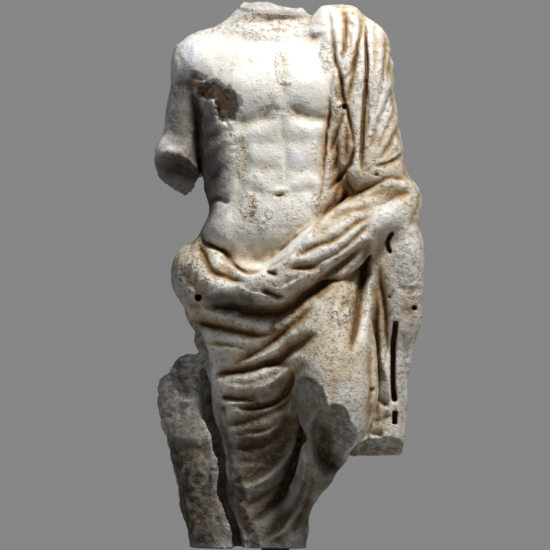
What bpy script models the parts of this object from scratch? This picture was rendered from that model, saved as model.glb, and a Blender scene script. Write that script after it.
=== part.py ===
import bpy
import bmesh
import numpy as np
import openvdb

# Driving dimensions, in metres
MARBLE_HEIGHT = 0.765       # broken neck to the flat underside
POST_WIDTH = 0.039          # square steel bar
POST_EXPOSED = 0.050        # bar seen between marble and base
SOCKET_DEPTH = 0.020        # mortise in the marble's underside
FIT_CLEARANCE = 0.0005      # round the bar, on each side
FACE_GAP = 0.0003           # between faces that meet
BASE_WIDTH = 0.300
BASE_DEPTH = 0.220
BASE_THICKNESS = 0.030
BASE_BEVEL = 0.0020
POST_BEVEL = 0.0010

# The figure is drawn in modules, hundredths of the marble's height. x runs to the viewer's right,
# y away from the viewer, z up from the underside.
MODULE = MARBLE_HEIGHT / 100
MARBLE_BOTTOM = BASE_THICKNESS + POST_EXPOSED
DRAW_STEP = 0.55            # modules between the places where the figure is worked out
SKIN_TRIANGLES = 9200
SKIN_ALLOWANCE = 0.15       # modules the skin is drawn proud, since thinning it pulls the crests in
EXTENT = ((-24, 30), (-18, 14), (-3, 103))

# Rounds that stand upright: height, centre x, centre y, half width, depth in front, depth behind
TORSO = [(97, 0.0, 3.0, 6.5, 4.5, 4.0), (95, 0.0, 2.5, 9.5, 5.6, 5.2), (92.5, 0.2, 1.8, 13.2, 7.2, 6.3),
         (89, 0.3, 1.2, 14.6, 8.8, 7.3), (84, 0.3, 0.8, 14.6, 9.9, 8.0), (79, 0.3, 0.5, 14.3, 9.5, 8.0),
         (74, 0.3, 0.3, 14.2, 9.1, 7.4), (69, 0.4, 0.1, 13.8, 8.9, 6.8), (65, 0.6, 0.0, 13.4, 9.0, 6.6),
         (62, 0.8, 0.0, 12.9, 9.2, 6.9), (58, 0.9, 0.0, 14.4, 8.9, 8.0), (54, 0.7, 0.0, 16.6, 7.9, 9.2),
         (50, 0.4, 0.0, 18.2, 7.2, 9.8), (46, 0.2, 0.0, 18.0, 6.6, 9.0)]
SKIRT = [(56, 1.2, 0.0, 15.6, 6.6, 9.0), (52, 0.6, 0.0, 18.0, 7.8, 9.8), (48, 0.3, 0.0, 19.2, 9.8, 10.0),
         (44, 0.5, 0.0, 18.3, 10.4, 9.8), (40, 0.8, 0.0, 16.8, 10.0, 9.2), (36, 1.0, 0.0, 16.3, 9.4, 8.6),
         (32, 1.0, 0.0, 15.0, 8.6, 8.1), (28, 0.8, 0.0, 13.6, 7.6, 7.7), (24, 0.4, 0.2, 12.6, 6.8, 7.3),
         (20, -0.2, 0.4, 11.0, 6.2, 7.0), (16, -0.6, 0.6, 9.8, 5.9, 6.7), (12, -1.0, 0.8, 8.8, 5.8, 6.3),
         (8, -1.5, 1.0, 7.4, 5.8, 5.9), (4, -1.2, 1.0, 6.6, 5.8, 5.7), (-3, -1.0, 1.0, 6.4, 5.8, 5.6)]
SHOULDER_CLOTH = [
    (99.2, 11.4, 2.6, 3.4, 4.0, 4.0), (97.6, 11.5, 2.4, 4.6, 5.6, 5.0), (96.2, 11.9, 2.2, 6.2, 6.8, 5.6),
    (94.5, 12.4, 2.0, 7.6, 7.9, 6.4), (92, 12.9, 1.8, 8.4, 8.8, 6.9), (89, 13.5, 1.5, 8.5, 9.3, 7.2),
    (86, 14.0, 1.3, 8.1, 9.5, 7.2), (80, 14.8, 1.0, 7.9, 9.3, 7.0), (74, 15.9, 0.6, 7.8, 9.0, 6.6),
    (68, 17.2, 0.2, 7.4, 8.6, 6.4), (64, 19.3, 0.0, 7.0, 7.8, 6.2), (58, 20.4, -0.4, 6.6, 7.2, 5.8),
    (52, 21.2, -0.6, 6.4, 6.9, 5.4), (46, 21.5, -0.6, 6.1, 6.4, 5.0), (41, 21.3, -0.4, 5.9, 5.6, 4.8),
    (37, 20.6, 0.0, 5.4, 4.8, 4.4), (32, 19.9, 0.4, 5.4, 4.4, 4.2), (26, 19.2, 0.8, 5.6, 4.0, 4.0),
    (21, 18.6, 1.2, 5.3, 3.8, 3.8), (16.6, 18.2, 1.6, 4.9, 3.6, 3.6)]
RIGHT_ARM = [
    (92, -15.2, 1.2, 3.2, 3.6, 3.6), (88, -15.6, 1.0, 3.5, 4.4, 4.4), (84, -16.0, 0.9, 3.3, 4.4, 4.3),
    (80, -16.7, 0.8, 3.4, 4.1, 4.1), (76, -17.1, 0.7, 3.4, 3.9, 3.9), (72.5, -17.9, 0.4, 4.2, 4.3, 3.9),
    (69, -17.7, 0.3, 4.3, 4.4, 3.9), (64.2, -17.2, 0.3, 3.4, 3.8, 3.6)]
STRUT = [(35.2, -15.8, 0.5, 2.4, 3.6, 4.6), (33, -16.4, 0.5, 3.0, 4.2, 5.2), (29, -17.6, 0.3, 4.6, 4.7, 5.8),
         (25, -17.6, 0.3, 4.4, 4.8, 5.8), (20, -16.0, 0.4, 4.3, 4.8, 5.6), (15, -14.7, 0.5, 4.2, 4.8, 5.4),
         (10, -14.2, 0.6, 3.5, 4.8, 5.2), (5, -12.8, 0.8, 4.1, 4.8, 5.2), (-3, -11.0, 0.8, 3.8, 4.6, 5.0)]
STRUT_TURN = 0.55           # how fast the strut's front falls back towards the viewer's left

# Rounds that run freely: x, y, z, radius
WAIST_ROLL = [
    (24.0, 0.5, 64.0, 3.4), (19.5, -4.0, 61.8, 4.2), (13.5, -7.0, 57.4, 4.9), (7.5, -8.4, 52.4, 5.0),
    (1.0, -8.6, 47.9, 4.1), (-6.0, -7.8, 46.9, 4.1), (-11.5, -5.2, 48.4, 4.7), (-14.0, 0.0, 51.0, 4.9)]
THIGH = [(8.0, -3.0, 43.0, 8.6), (10.6, -8.3, 31.5, 7.35), (11.0, -9.6, 24.0, 6.1)]
SHIN = [(10.8, -8.0, 22.5, 4.8), (7.0, -4.4, 14.0, 3.5), (3.5, -3.0, 8.0, 2.8), (2.6, -2.4, -2.0, 3.0)]
NECK = [(-0.7, 3.0, 92, 6.0), (-0.3, 3.4, 103, 5.5)]
TRAPEZIUS = [(-2, 4.5, 95.6, 4.0), (-11.5, 3.0, 90.9, 3.4)]
SHOULDER = ((-13.4, 1.2, 87.8), (5.5, 6.4, 6.4))
STRUT_WEB = [(-12.0, 2.5, 33, 3.4), (-11.5, 2.8, 18, 3.6), (-8.5, 2.6, -2, 3.8)]
ARM_WEB = [(-13.4, 2.6, 87, 2.6), (-14.0, 2.6, 77, 2.4), (-14.0, 2.6, 69.5, 2.0)]

# Edges of cloth that lie over what is beneath: height of the step, softness, how far it runs back, points
CLOTH_EDGE = [(-13.3, 57.5), (-12.8, 55.4), (-9.2, 53.8), (-6.5, 50.8), (-2, 50.4), (2, 53), (4, 54.8),
              (7.4, 59)]
DRAPE_EDGE = [(7.4, 59.5), (8.2, 66), (9.2, 73), (9.9, 79), (10.3, 85), (11, 88), (10.4, 91), (9.8, 99)]
ROLL_FOOT = [(-13, 43.6), (-7, 43.4), (0, 42.6), (3, 43.7), (6, 46.0), (10, 49.6), (13, 52.3), (16.8, 56)]
ROLL_HEAD = [(7.3, 59.3), (9, 61), (11, 62.4), (15, 64.5), (18.5, 66.3), (21, 67.1), (25, 67)]
SASH_EDGE = [(-17, 57), (-8, 62.5), (1, 71), (6, 82), (9, 98)]
STEPS = [(0.9, 0.5, 4.0, CLOTH_EDGE), (0.8, 0.5, 3.0, DRAPE_EDGE), (0.6, 0.5, 3.0, ROLL_FOOT),
         (0.7, 0.5, 2.5, ROLL_HEAD)]

# Valleys between folds: depth, half width, points, lean. A line drawn to the right or downwards has its
# gentle side above or to the right where the lean is positive
SHOULDER_VALLEYS = [
    (1.7, 0.60, [(9.8, 98.5), (10.5, 91), (11.2, 87.5), (12.2, 83), (13, 79.3), (14.3, 74)]),
    (1.6, 0.55, [(15.6, 98), (15.5, 93.5), (14.6, 89.5), (13.6, 86.5), (12.3, 84.6)], 0.3),
    (1.3, 0.50, [(12.4, 98.4), (12.9, 95), (12.4, 91.2), (11.7, 88.5)]),
    (2.4, 0.65, [(15.9, 98), (16.6, 92), (16.6, 84.5), (16, 78), (15.9, 67.5)], 0.4),
    (1.5, 0.60, [(20.2, 93.5), (20, 88), (18.2, 78.5)], 0.4),
    (1.6, 0.60, [(22.2, 85.4), (20.2, 81), (17.3, 72.5)], 0.5),
    (1.5, 0.60, [(23.2, 78.2), (21.4, 75), (18.8, 70.4)], 0.5),
    (1.4, 0.55, [(24.0, 72.6), (21.8, 70.8), (18.0, 69.4)], 0.5),
    (1.8, 0.60, [(14.5, 73.5), (13.9, 70.3), (12.8, 68.5), (9.4, 64.8)], -0.5),
    (2.0, 0.65, ROLL_HEAD, 0.6)]
ROLL_VALLEYS = [
    (1.8, 0.60, [(8.2, 59), (11, 60.4), (17, 61.9), (25.4, 65)], 0.4),
    (1.9, 0.60, [(2.6, 53), (5, 54), (8, 55), (14, 58.4), (18.2, 61.7)], 0.4),
    (1.6, 0.55, [(2.4, 51.0), (5, 51.0), (7.6, 51.7), (12.5, 54.9), (17.6, 60)], 0.5),
    (1.1, 0.50, [(0.5, 48.4), (5, 49.7), (8, 51.0), (13, 54.2)], 0.3),
    (2.8, 1.10, ROLL_FOOT, 0.6),
    (1.4, 0.55, [(-2.6, 47), (1, 46), (2.3, 46.2)]),
    (1.5, 0.60, [(-14.2, 55.4), (-12, 51.3), (-9, 49.5), (-4.8, 48.5)], 0.3),
    (1.2, 0.50, CLOTH_EDGE[:5], -0.3)]
THIGH_VALLEYS = [
    (1.9, 0.75, [(-16.5, 41.4), (-9, 39.8), (-2.6, 38.8), (0.5, 39.6)], 0.6),
    (1.9, 0.85, [(-8.4, 33.4), (-2, 36.6), (2.5, 40.3), (7.5, 45)], 0.7),
    (2.2, 0.90, [(-12.6, 31.7), (-5, 32.5), (1, 34.7), (7.6, 39.6)], 0.7),
    (2.0, 0.85, [(-7.5, 25.8), (-1, 26.3), (2.6, 29.5), (5.4, 34.6)], 0.7),
    (1.3, 0.60, [(-10.8, 27.8), (-5.5, 27.1), (-3.0, 27.4)], 0.6),
    (1.9, 0.75, [(-9.6, 22.4), (-3, 23.9), (2.2, 26.8), (3.6, 29.4)], 0.6),
    (1.8, 0.80, [(-8.2, 18.2), (-1.2, 19.6), (2.7, 24.6)], 0.7),
    (1.9, 0.85, [(-7.6, 11.9), (-2, 14.6), (2, 20), (3.4, 25)], 0.7),
    (2.1, 0.75, [(5.4, 27), (3.6, 17), (1.0, 10), (-4.4, 4.4)], -0.4),
    (1.0, 0.55, [(5.8, 16), (3, 7), (-2.4, 1.2)], -0.4),
    (2.2, 0.85, [(-13.0, 34.5), (-12.4, 25), (-10.2, 15), (-10, 10), (-6.8, 0)])]
HANGING_VALLEYS = [
    (2.0, 0.70, [(17.2, 56.2), (15.9, 51.5), (14.4, 40), (13.8, 35.6)], -0.5),
    (1.4, 0.50, [(18.8, 51.5), (20.1, 42), (20.6, 33)], -0.3),
    (1.5, 0.60, [(17.0, 38), (17.2, 30), (16.8, 18)], -0.3)]

# Channels run with the drill, straight and steep: depth, half width, points
SLOTS = [(3.4, 0.60, [(21.9, 41.6), (21.4, 34), (21.7, 26.5)]),
         (2.2, 0.60, [(21.3, 57.6), (20.4, 55.6), (20.9, 53.6)]),
         (1.6, 0.65, [(-14.4, 84), (-14, 75), (-13.8, 65)]),
         (4.6, 0.80, [(-12.9, 33.6), (-12.3, 24), (-10.1, 15), (-9.9, 10), (-7.0, 2), (-6.4, -2)])]

# Flesh: valleys as above, and swellings or pits: height, centre x, centre z, half width, half height
FLESH_VALLEYS = [
    (0.9, 0.45, [(-8.3, 77.1), (-4, 77.5), (-2, 78.6), (0.6, 80.4)]),
    (0.9, 0.45, [(1.8, 80.7), (4, 79.2), (6, 78.3), (9.7, 78.3)]),
    (0.6, 0.40, [(1.4, 92), (1.6, 86), (1.2, 79), (1.8, 72), (1.5, 65.5)]),
    (0.5, 0.45, [(-6.6, 76), (-5.9, 71), (-6.4, 66), (-7.6, 60)]),
    (0.4, 0.40, [(8.4, 77), (8, 72), (7.4, 66)]),
    (0.9, 0.35, [(-12.4, 62.2), (-10.4, 63.4), (-7.8, 62.7)]),
    (0.5, 0.35, [(-15.5, 86.3), (-13.6, 85.7), (-12, 85)])]
SWELLINGS = [(0.9, -6.3, 83.6, 6.4, 5.2), (0.8, 5.4, 84.0, 5.0, 5.0), (1.3, -10.6, 59, 3.0, 3.8),
             (0.7, 0.6, 58.4, 6.5, 5.0), (0.45, -6.5, 94.6, 5.5, 0.9), (0.35, -9.8, 72.5, 2.2, 3.6),
             (-1.2, 0.6, 64.1, 0.8, 0.5), (-1.7, -9.3, 81.1, 2.5, 3.5), (-1.1, -12.0, 83.9, 2.3, 1.5),
             (1.0, 20.4, 60, 3.0, 2.8), (0.9, 24.4, 53, 2.2, 6.0), (0.8, 11.0, 40, 3.2, 7.0),
             (-1.4, 6.8, 19, 1.5, 5.5), (-0.8, -4.2, 17.0, 4.2, 2.6)]

# Where stone has broken off: a place on the face, which way it looks, how rough it is, and the egg that
# holds the break, by its centre and half widths
BREAKS = [
    ((0, -1, 98.3), (0.10, -0.20, 1), 0.5, (-1, 2, 102), (10.2, 14, 7.0)),
    ((-18.6, -3.4, 71.3), (-0.22, -0.66, -0.72), 0.6, (-19.5, 0, 66), (6.0, 9, 8.5)),
    ((8, -14.5, 26), (-0.42, -0.76, -0.49), 0.55, (11.5, -14, 18.5), (6.5, 9, 8.2)),
    ((7.4, -13.9, 26), (-0.80, -0.58, -0.12), 0.50, (5.5, -13, 25), (4.5, 7, 6.5)),
    ((-20.5, -1.5, 29.9), (0.08, -0.77, 0.64), 0.4, (-17.4, -4, 33.4), (5.4, 7, 8.6)),
    ((20.5, -2.6, 20.2), (0.05, -0.62, -0.78), 0.5, (20.5, -3, 16), (6.0, 8, 4.9))]
ABDOMEN_ROWS, ABDOMEN_TOP, ABDOMEN_PITCH = 3, 76.2, 4.7
SPINE = (1.0, 1.1, [(0.3, 92), (0.2, 80), (0.4, 70)])
SHOULDER_BLADE = (0.5, 1.4, [(-11, 88), (-6.5, 82), (-5.5, 77)])
BACK_SASH_FOLDS, BACK_HANGING_FOLDS = 6, 7
SIDE_FOLDS, LEFT_FOLD_PITCH, RIGHT_FOLD_PITCH = 6, 6.0, 4.5


# Values at the heights asked for, on a smooth curve through the rows that never overshoots them
def smooth_rows(rows, at):
    rows = np.array(sorted(rows), dtype=float)
    knots, values = rows[:, 0], rows[:, 1:]
    secants = np.diff(values, axis=0) / np.diff(knots)[:, None]
    both = secants[1:] * secants[:-1]
    slopes = np.zeros_like(values)
    slopes[1:-1] = np.where(both > 0, 2 * both / (secants[1:] + secants[:-1] + 1e-12), 0)
    slopes[0], slopes[-1] = secants[0], secants[-1]
    at = np.clip(at, knots[0], knots[-1])
    i = np.clip(np.searchsorted(knots, at, side="right") - 1, 0, len(knots) - 2)
    h = (knots[i + 1] - knots[i])[:, None]
    t = (at - knots[i])[:, None] / h
    return ((1 + 2 * t) * (1 - t) ** 2 * values[i] + t * (1 - t) ** 2 * h * slopes[i]
            + t * t * (3 - 2 * t) * values[i + 1] + t * t * (t - 1) * h * slopes[i + 1]).T


# A smooth line through a few points
def curve(points, parts=5):
    p = np.array(points, float)
    p = np.vstack([2 * p[0] - p[1], p, 2 * p[-1] - p[-2]])
    t = np.linspace(0, 1, parts, endpoint=False)[:, None]
    runs = [0.5 * (2 * b + (c - a) * t + (2 * a - 5 * b + 4 * c - d) * t ** 2
                   + (3 * b - a - 3 * c + d) * t ** 3)
            for a, b, c, d in zip(p[:-3], p[1:-2], p[2:-1], p[3:])]
    return np.vstack(runs + [p[-2:-1]])


# The union of two fields, with a fillet about k wide
def melt(a, b, k):
    h = np.clip(k - np.abs(a - b), 0, None)
    return np.minimum(a, b) - h * h / (4 * k)


def keep_both(a, b, k):
    return -melt(-a, -b, k)


# A round whose cross-section changes with its height
def upright(grid, rows, power=2.0):
    x, y, z = grid
    cx, cy, rx, rf, rb = (v[None, None, :].astype(np.float32) for v in smooth_rows(rows, z[0, 0, :]))
    ry = np.where(y < cy, rf, rb)
    dx, dy = (x - cx) / rx, (y - cy) / ry
    k0 = (np.abs(dx) ** power + np.abs(dy) ** power) ** (1 / power) + 1e-6
    k1 = np.sqrt((dx / rx) ** 2 + (dy / ry) ** 2) + 1e-6
    low, high = min(r[0] for r in rows), max(r[0] for r in rows)
    return keep_both(keep_both(k0 * (k0 - 1) / k1, z - high, 1.0), low - z, 0.6)


def egg(grid, centre, radii):
    parts = [(v - c) / r for v, c, r in zip(grid, centre, radii)]
    k0 = np.sqrt(sum(p * p for p in parts)) + 1e-6
    k1 = np.sqrt(sum((p / r) ** 2 for p, r in zip(parts, radii))) + 1e-6
    return k0 * (k0 - 1) / k1


# Tapered rounds joined end to end along a smooth line
def limb(grid, points, k=1.2):
    x, y, z = grid
    line = curve(points, 2)
    out = None
    for a, b in zip(line[:-1], line[1:]):
        axis = b[:3] - a[:3]
        t = ((x - a[0]) * axis[0] + (y - a[1]) * axis[1] + (z - a[2]) * axis[2]) / (axis @ axis)
        t = np.clip(t, 0, 1)
        d = np.sqrt((x - a[0] - t * axis[0]) ** 2 + (y - a[1] - t * axis[1]) ** 2
                    + (z - a[2] - t * axis[2]) ** 2) - (a[3] + t * (b[3] - a[3]))
        out = d if out is None else melt(out, d, k)
    return out


def plane(grid, point, normal):
    n = np.array(normal, float) / np.linalg.norm(normal)
    return sum((v - p) * m for v, p, m in zip(grid, point, n))


# Distance from each place of the map to a line, on which side it lies and how far along the nearest point is
def along(mu, mv, points, reach):
    line = curve(points)
    lo, hi = line.min(0) - reach, line.max(0) + reach
    place = tuple(slice(*np.searchsorted(m, (a, b))) for m, a, b in zip((mu, mv), lo, hi))
    u, v = mu[place[0]][:, None], mv[place[1]][None, :]
    best = np.full((u.shape[0], v.shape[1]), 1e9)
    side, share = np.zeros_like(best), np.zeros_like(best)
    lengths = np.r_[0, np.cumsum(np.hypot(*np.diff(line, axis=0).T))]
    for a, b, start, end in zip(line[:-1], line[1:], lengths[:-1], lengths[1:]):
        du, dv = b - a
        t = np.clip(((u - a[0]) * du + (v - a[1]) * dv) / (du * du + dv * dv), 0, 1)
        eu, ev = u - a[0] - t * du, v - a[1] - t * dv
        d = eu * eu + ev * ev
        near = d < best
        best = np.where(near, d, best)
        side = np.where(near, np.sign(du * ev - dv * eu), side)
        share = np.where(near, (start + t * (end - start)) / lengths[-1], share)
    return place, np.sqrt(best), side, share


# Cloth bulges between its valleys: each sinks by depth times exp(-distance / run), and where it leans the
# run is longer on one side
def carve(mu, mv, valleys, fade=0.3):
    total = np.zeros((len(mu), len(mv)))
    for depth, width, points, *lean in valleys:
        place, d, side, share = along(mu, mv, points, width * 11)
        ends = np.clip(np.minimum(share, 1 - share) / fade, 0, 1)
        ends = ends * (2 - ends)
        run = 2.5 * width * (0.45 + 0.55 * ends) * (1 + 0.6 * sum(lean) * side)
        total[place] += (ends * depth * np.exp(-(d / run) ** 1.15)) ** 2.2
    return -total ** (1 / 2.2)


# A step down from a line's right hand side, which runs back to nothing on its left
def lay_over(mu, mv, steps):
    total = np.zeros((len(mu), len(mv)))
    for height, soft, reach, points in steps:
        place, d, side, share = along(mu, mv, points, reach * 3)
        d = -d * side
        ends = np.clip(np.minimum(share, 1 - share) / 0.1, 0, 1)
        total[place] += height * ends * np.clip(d / soft + 0.5, 0, 1) * np.exp(-np.clip(d, 0, None) / reach)
    return total


# Slots with steep walls and flat floors
def channels(mu, mv, lines):
    total = np.zeros((len(mu), len(mv)))
    for depth, width, points in lines:
        place, d, _, share = along(mu, mv, points, width * 3)
        ends = np.clip(np.minimum(share, 1 - share) / 0.05, 0, 1)
        total[place] = np.maximum(total[place], depth * ends * np.exp(-(d / width) ** 4))
    return -total


def swell(mu, mv, swellings):
    total = np.zeros((len(mu), len(mv)))
    for height, cu, cv, ru, rv in swellings:
        total += height * np.exp(-(((mu[:, None] - cu) / ru) ** 2 + ((mv[None, :] - cv) / rv) ** 2) ** 1.3)
    return total


# The muscles of the abdomen, in rows that flatten downwards
def abdomen():
    rows = [ABDOMEN_TOP - i * ABDOMEN_PITCH for i in range(ABDOMEN_ROWS)]
    return [(0.38, cx, row, 2.8, 2.1) for row in rows for cx in (-2.2, 4.5)]


# Each map says how far a place of the view stands out or in: the front, the back and the two sides
def front_map(mx, mz):
    folds = SHOULDER_VALLEYS + ROLL_VALLEYS + THIGH_VALLEYS + HANGING_VALLEYS
    return (carve(mx, mz, folds) + carve(mx, mz, FLESH_VALLEYS) + lay_over(mx, mz, STEPS)
            + swell(mx, mz, SWELLINGS + abdomen()) + channels(mx, mz, SLOTS))


# A sash of folds fans from the left shoulder to the right hip, and the skirt hangs from it in long folds
def back_map(mx, mz):
    valleys = [SPINE, SHOULDER_BLADE]
    for t in np.linspace(0, 1, BACK_SASH_FOLDS):
        line = [(10 + 11 * t, 96 - 4 * t), (6 + 11 * t, 80 - 5 * t), (-1 + 12 * t, 68 - 9 * t),
                (-9 + 10 * t, 60 - 12 * t), (-18 + 7 * t, 55 - 14 * t)]
        valleys.append((1.4, 0.8, line))
    for t in np.linspace(0, 1, BACK_HANGING_FOLDS):
        line = [(-12 + 25 * t, 38 + 14 * t), (-10 + 22 * t, 27), (-7 + 14 * t, 13), (-5 + 8 * t, 0)]
        valleys.append((1.2, 0.9, line))
    return carve(mx, mz, valleys) + lay_over(mx, mz, [(1.0, 0.8, 5.0, SASH_EDGE)])


# Under the left arm the folds drop to the front above the waist and hang straight below it
def left_side_map(my, mz):
    drops = [i * LEFT_FOLD_PITCH for i in range(SIDE_FOLDS)]
    slant = [(1.4, 0.8, [(6, 95 - drop), (0, 89 - drop), (-7, 85 - drop)]) for drop in drops]
    straight = [(1.4, 0.8, [(y, 56), (y + 0.8, 40), (y, 20)]) for y in (-2.2, 0.4, 2.8)]
    return carve(my, mz, slant + straight)


def right_side_map(my, mz):
    drops = [i * RIGHT_FOLD_PITCH for i in range(SIDE_FOLDS)]
    return carve(my, mz, [(1.4, 0.8, [(-9, 42 - drop), (0, 44 - drop), (8, 48 - drop)]) for drop in drops])


# Soft noise between -1 and 1 whose lumps are about one cell wide
def lattice(shape, cell, seed):
    values = np.random.default_rng(seed).uniform(-1, 1, [int(np.ceil(n / cell)) + 2 for n in shape])
    for axis, n in enumerate(shape):
        t = np.arange(n) / cell
        i = t.astype(int)
        f = t - i
        f = (f * f * (3 - 2 * f)).reshape([-1 if a == axis else 1 for a in range(3)])
        values = np.take(values, i, axis) * (1 - f) + np.take(values, i + 1, axis) * f
    return values


# The whole figure before carving
def body(grid):
    chest = melt(upright(grid, TORSO, 2.5), egg(grid, *SHOULDER), 3.0)
    chest = melt(chest, limb(grid, NECK), 2.5)
    chest = melt(chest, limb(grid, TRAPEZIUS), 3.0)
    chest = melt(chest, upright(grid, RIGHT_ARM), 0.8)
    chest = melt(chest, limb(grid, ARM_WEB), 0.8)
    cloth = melt(upright(grid, SKIRT, 2.3), limb(grid, THIGH, 3.0), 4.0)
    cloth = melt(cloth, limb(grid, SHIN), 1.2)
    cloth = melt(cloth, upright(grid, SHOULDER_CLOTH, 2.5), 1.6)
    cloth = melt(cloth, limb(grid, WAIST_ROLL, 2.5), 1.6)
    cloth = melt(cloth, limb(grid, STRUT_WEB, 2.5), 1.6)
    x, y, z = grid
    turned = (x, y + STRUT_TURN * (x - STRUT[5][1]), z)
    return melt(melt(chest, cloth, 0.7), upright(turned, STRUT, 3.0), 0.8)


# The broken faces, and the strut's hewn skin, left of a slanting plane. Stone breaks in facets, so its
# roughness is the size of soft noise, folded at nought
def break_off(grid, whole, step):
    rough = (1.1 * np.abs(lattice(whole.shape, 6.3 / step, 1) + 0.7 * lattice(whole.shape, 3.7 / step, 4))
             + 0.5 * np.abs(lattice(whole.shape, 2.3 / step, 2) + 0.7 * lattice(whole.shape, 1.3 / step, 5)))
    for place, facing, roughness, centre, radii in BREAKS:
        face = plane(grid, place, facing) + roughness * rough
        whole = keep_both(whole, np.minimum(face, -egg(grid, centre, radii)), 0.3)
    hewn = np.minimum(-plane(grid, (-11, 0, 30), (0.95, 0, 0.28)), STRUT[0][0] - grid[2])
    return whole + np.clip(hewn, 0, 1) * (rough - 0.45) * 0.8


# How deep each place lies outside the marble, in modules; the surface is where it is nought
def marble_field(x, y, z):
    grid = (x[:, None, None], y[None, :, None], z[None, None, :])
    step = float(x[1] - x[0])
    whole = body(grid)
    across, away = (np.gradient(whole, axis=a) / step for a in (0, 1))
    length = np.hypot(across, away) + 1e-6
    ahead, behind, left, right = (np.clip((s / length - 0.2) / 0.5, 0, 1)
                                  for s in (-away, away, across - 0.3 * length, -across - 0.3 * length))
    for weight, relief in ((ahead, front_map(x, z)[:, None, :]), (behind, back_map(x, z)[:, None, :]),
                           ((1 - ahead) * left, left_side_map(y, z)[None]),
                           ((1 - ahead) * right, right_side_map(y, z)[None])):
        whole -= weight * relief
    return break_off(grid, whole, step)


def clear_scene():
    for thing in list(bpy.data.objects):
        bpy.data.objects.remove(thing, do_unlink=True)


def material(name, colour, roughness, metallic):
    made = bpy.data.materials.new(name)
    made.use_nodes = True
    shader = made.node_tree.nodes["Principled BSDF"]
    shader.inputs["Base Color"].default_value = (*colour, 1)
    shader.inputs["Roughness"].default_value = roughness
    shader.inputs["Metallic"].default_value = metallic
    return made


def add_object(name, mesh, finish=None):
    thing = bpy.data.objects.new(name, mesh)
    bpy.context.scene.collection.objects.link(thing)
    if finish:
        mesh.materials.append(finish)
    return thing


# A block by its width, depth and height, with its centre at the object's origin
def block(name, size, bevel=0.0, finish=None):
    shape = bmesh.new()
    bmesh.ops.create_cube(shape, size=1.0)
    bmesh.ops.scale(shape, vec=size, verts=shape.verts)
    mesh = bpy.data.meshes.new(name)
    shape.to_mesh(mesh)
    shape.free()
    thing = add_object(name, mesh, finish)
    if bevel:
        edge = thing.modifiers.new("bevel", "BEVEL")
        edge.width, edge.segments, edge.limit_method = bevel, 2, "ANGLE"
    return thing


def cut_away(thing, cutter):
    cutter.hide_render = True
    cutter.display_type = "WIRE"
    cut = thing.modifiers.new(cutter.name, "BOOLEAN")
    cut.operation, cut.solver, cut.object = "DIFFERENCE", "EXACT", cutter


# The skin of the field, as one body, set on the post
def marble_mesh():
    x, y, z = (np.arange(a, b, DRAW_STEP) for a, b in EXTENT)
    field = marble_field(x, y, z)
    for axis in range(3):
        np.moveaxis(field, axis, 0)[[0, -1]] = 1.0
    grid = openvdb.FloatGrid(3.0)
    grid.copyFromArray(np.clip(field, -3, 3).astype(np.float32))
    points, quads = grid.convertToQuads(SKIN_ALLOWANCE)
    places = (points * DRAW_STEP + [x[0], y[0], z[0]]) * MODULE + [0, 0, MARBLE_BOTTOM]
    shape = bmesh.new()
    verts = [shape.verts.new(place) for place in places]
    for quad in quads:
        shape.faces.new([verts[i] for i in quad])
    keep_largest(shape)
    bmesh.ops.recalc_face_normals(shape, faces=shape.faces)
    bmesh.ops.triangulate(shape, faces=shape.faces)
    mesh = bpy.data.meshes.new("marble_figure")
    shape.to_mesh(mesh)
    shape.free()
    return mesh


def keep_largest(shape):
    left, largest = set(shape.verts), set()
    while left:
        found, edge = set(), {left.pop()}
        while edge:
            found |= edge
            edge = {e.other_vert(v) for v in edge for e in v.link_edges} - found
        left -= found
        largest = max(largest, found, key=len)
    bmesh.ops.delete(shape, geom=[v for v in shape.verts if v not in largest], context="VERTS")


def build_marble(stone):
    marble = add_object("marble_figure", marble_mesh(), stone)
    thin = marble.modifiers.new("thin", "DECIMATE")
    thin.ratio = SKIN_TRIANGLES / len(marble.data.polygons)
    saw = block("saw", (1.5 * MARBLE_HEIGHT, MARBLE_HEIGHT, MARBLE_HEIGHT))
    saw.location.z = MARBLE_BOTTOM - MARBLE_HEIGHT / 2
    cut_away(marble, saw)
    opening = POST_WIDTH + 2 * FIT_CLEARANCE
    mortise = block("mortise", (opening, opening, 2 * SOCKET_DEPTH))
    mortise.location.z = MARBLE_BOTTOM
    cut_away(marble, mortise)


def build_mount(steel, paint):
    low = BASE_THICKNESS + FACE_GAP
    high = MARBLE_BOTTOM + SOCKET_DEPTH - FACE_GAP
    post = block("mount_post", (POST_WIDTH, POST_WIDTH, high - low), POST_BEVEL, steel)
    post.location.z = (low + high) / 2
    base = block("mount_base", (BASE_WIDTH, BASE_DEPTH, BASE_THICKNESS), BASE_BEVEL, paint)
    base.location.z = BASE_THICKNESS / 2


def main():
    clear_scene()
    build_marble(material("marble", (0.66, 0.58, 0.47), 0.62, 0.0))
    build_mount(material("black_steel", (0.020, 0.020, 0.022), 0.42, 0.8),
                material("black_paint", (0.018, 0.018, 0.019), 0.55, 0.0))


main()
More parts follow.
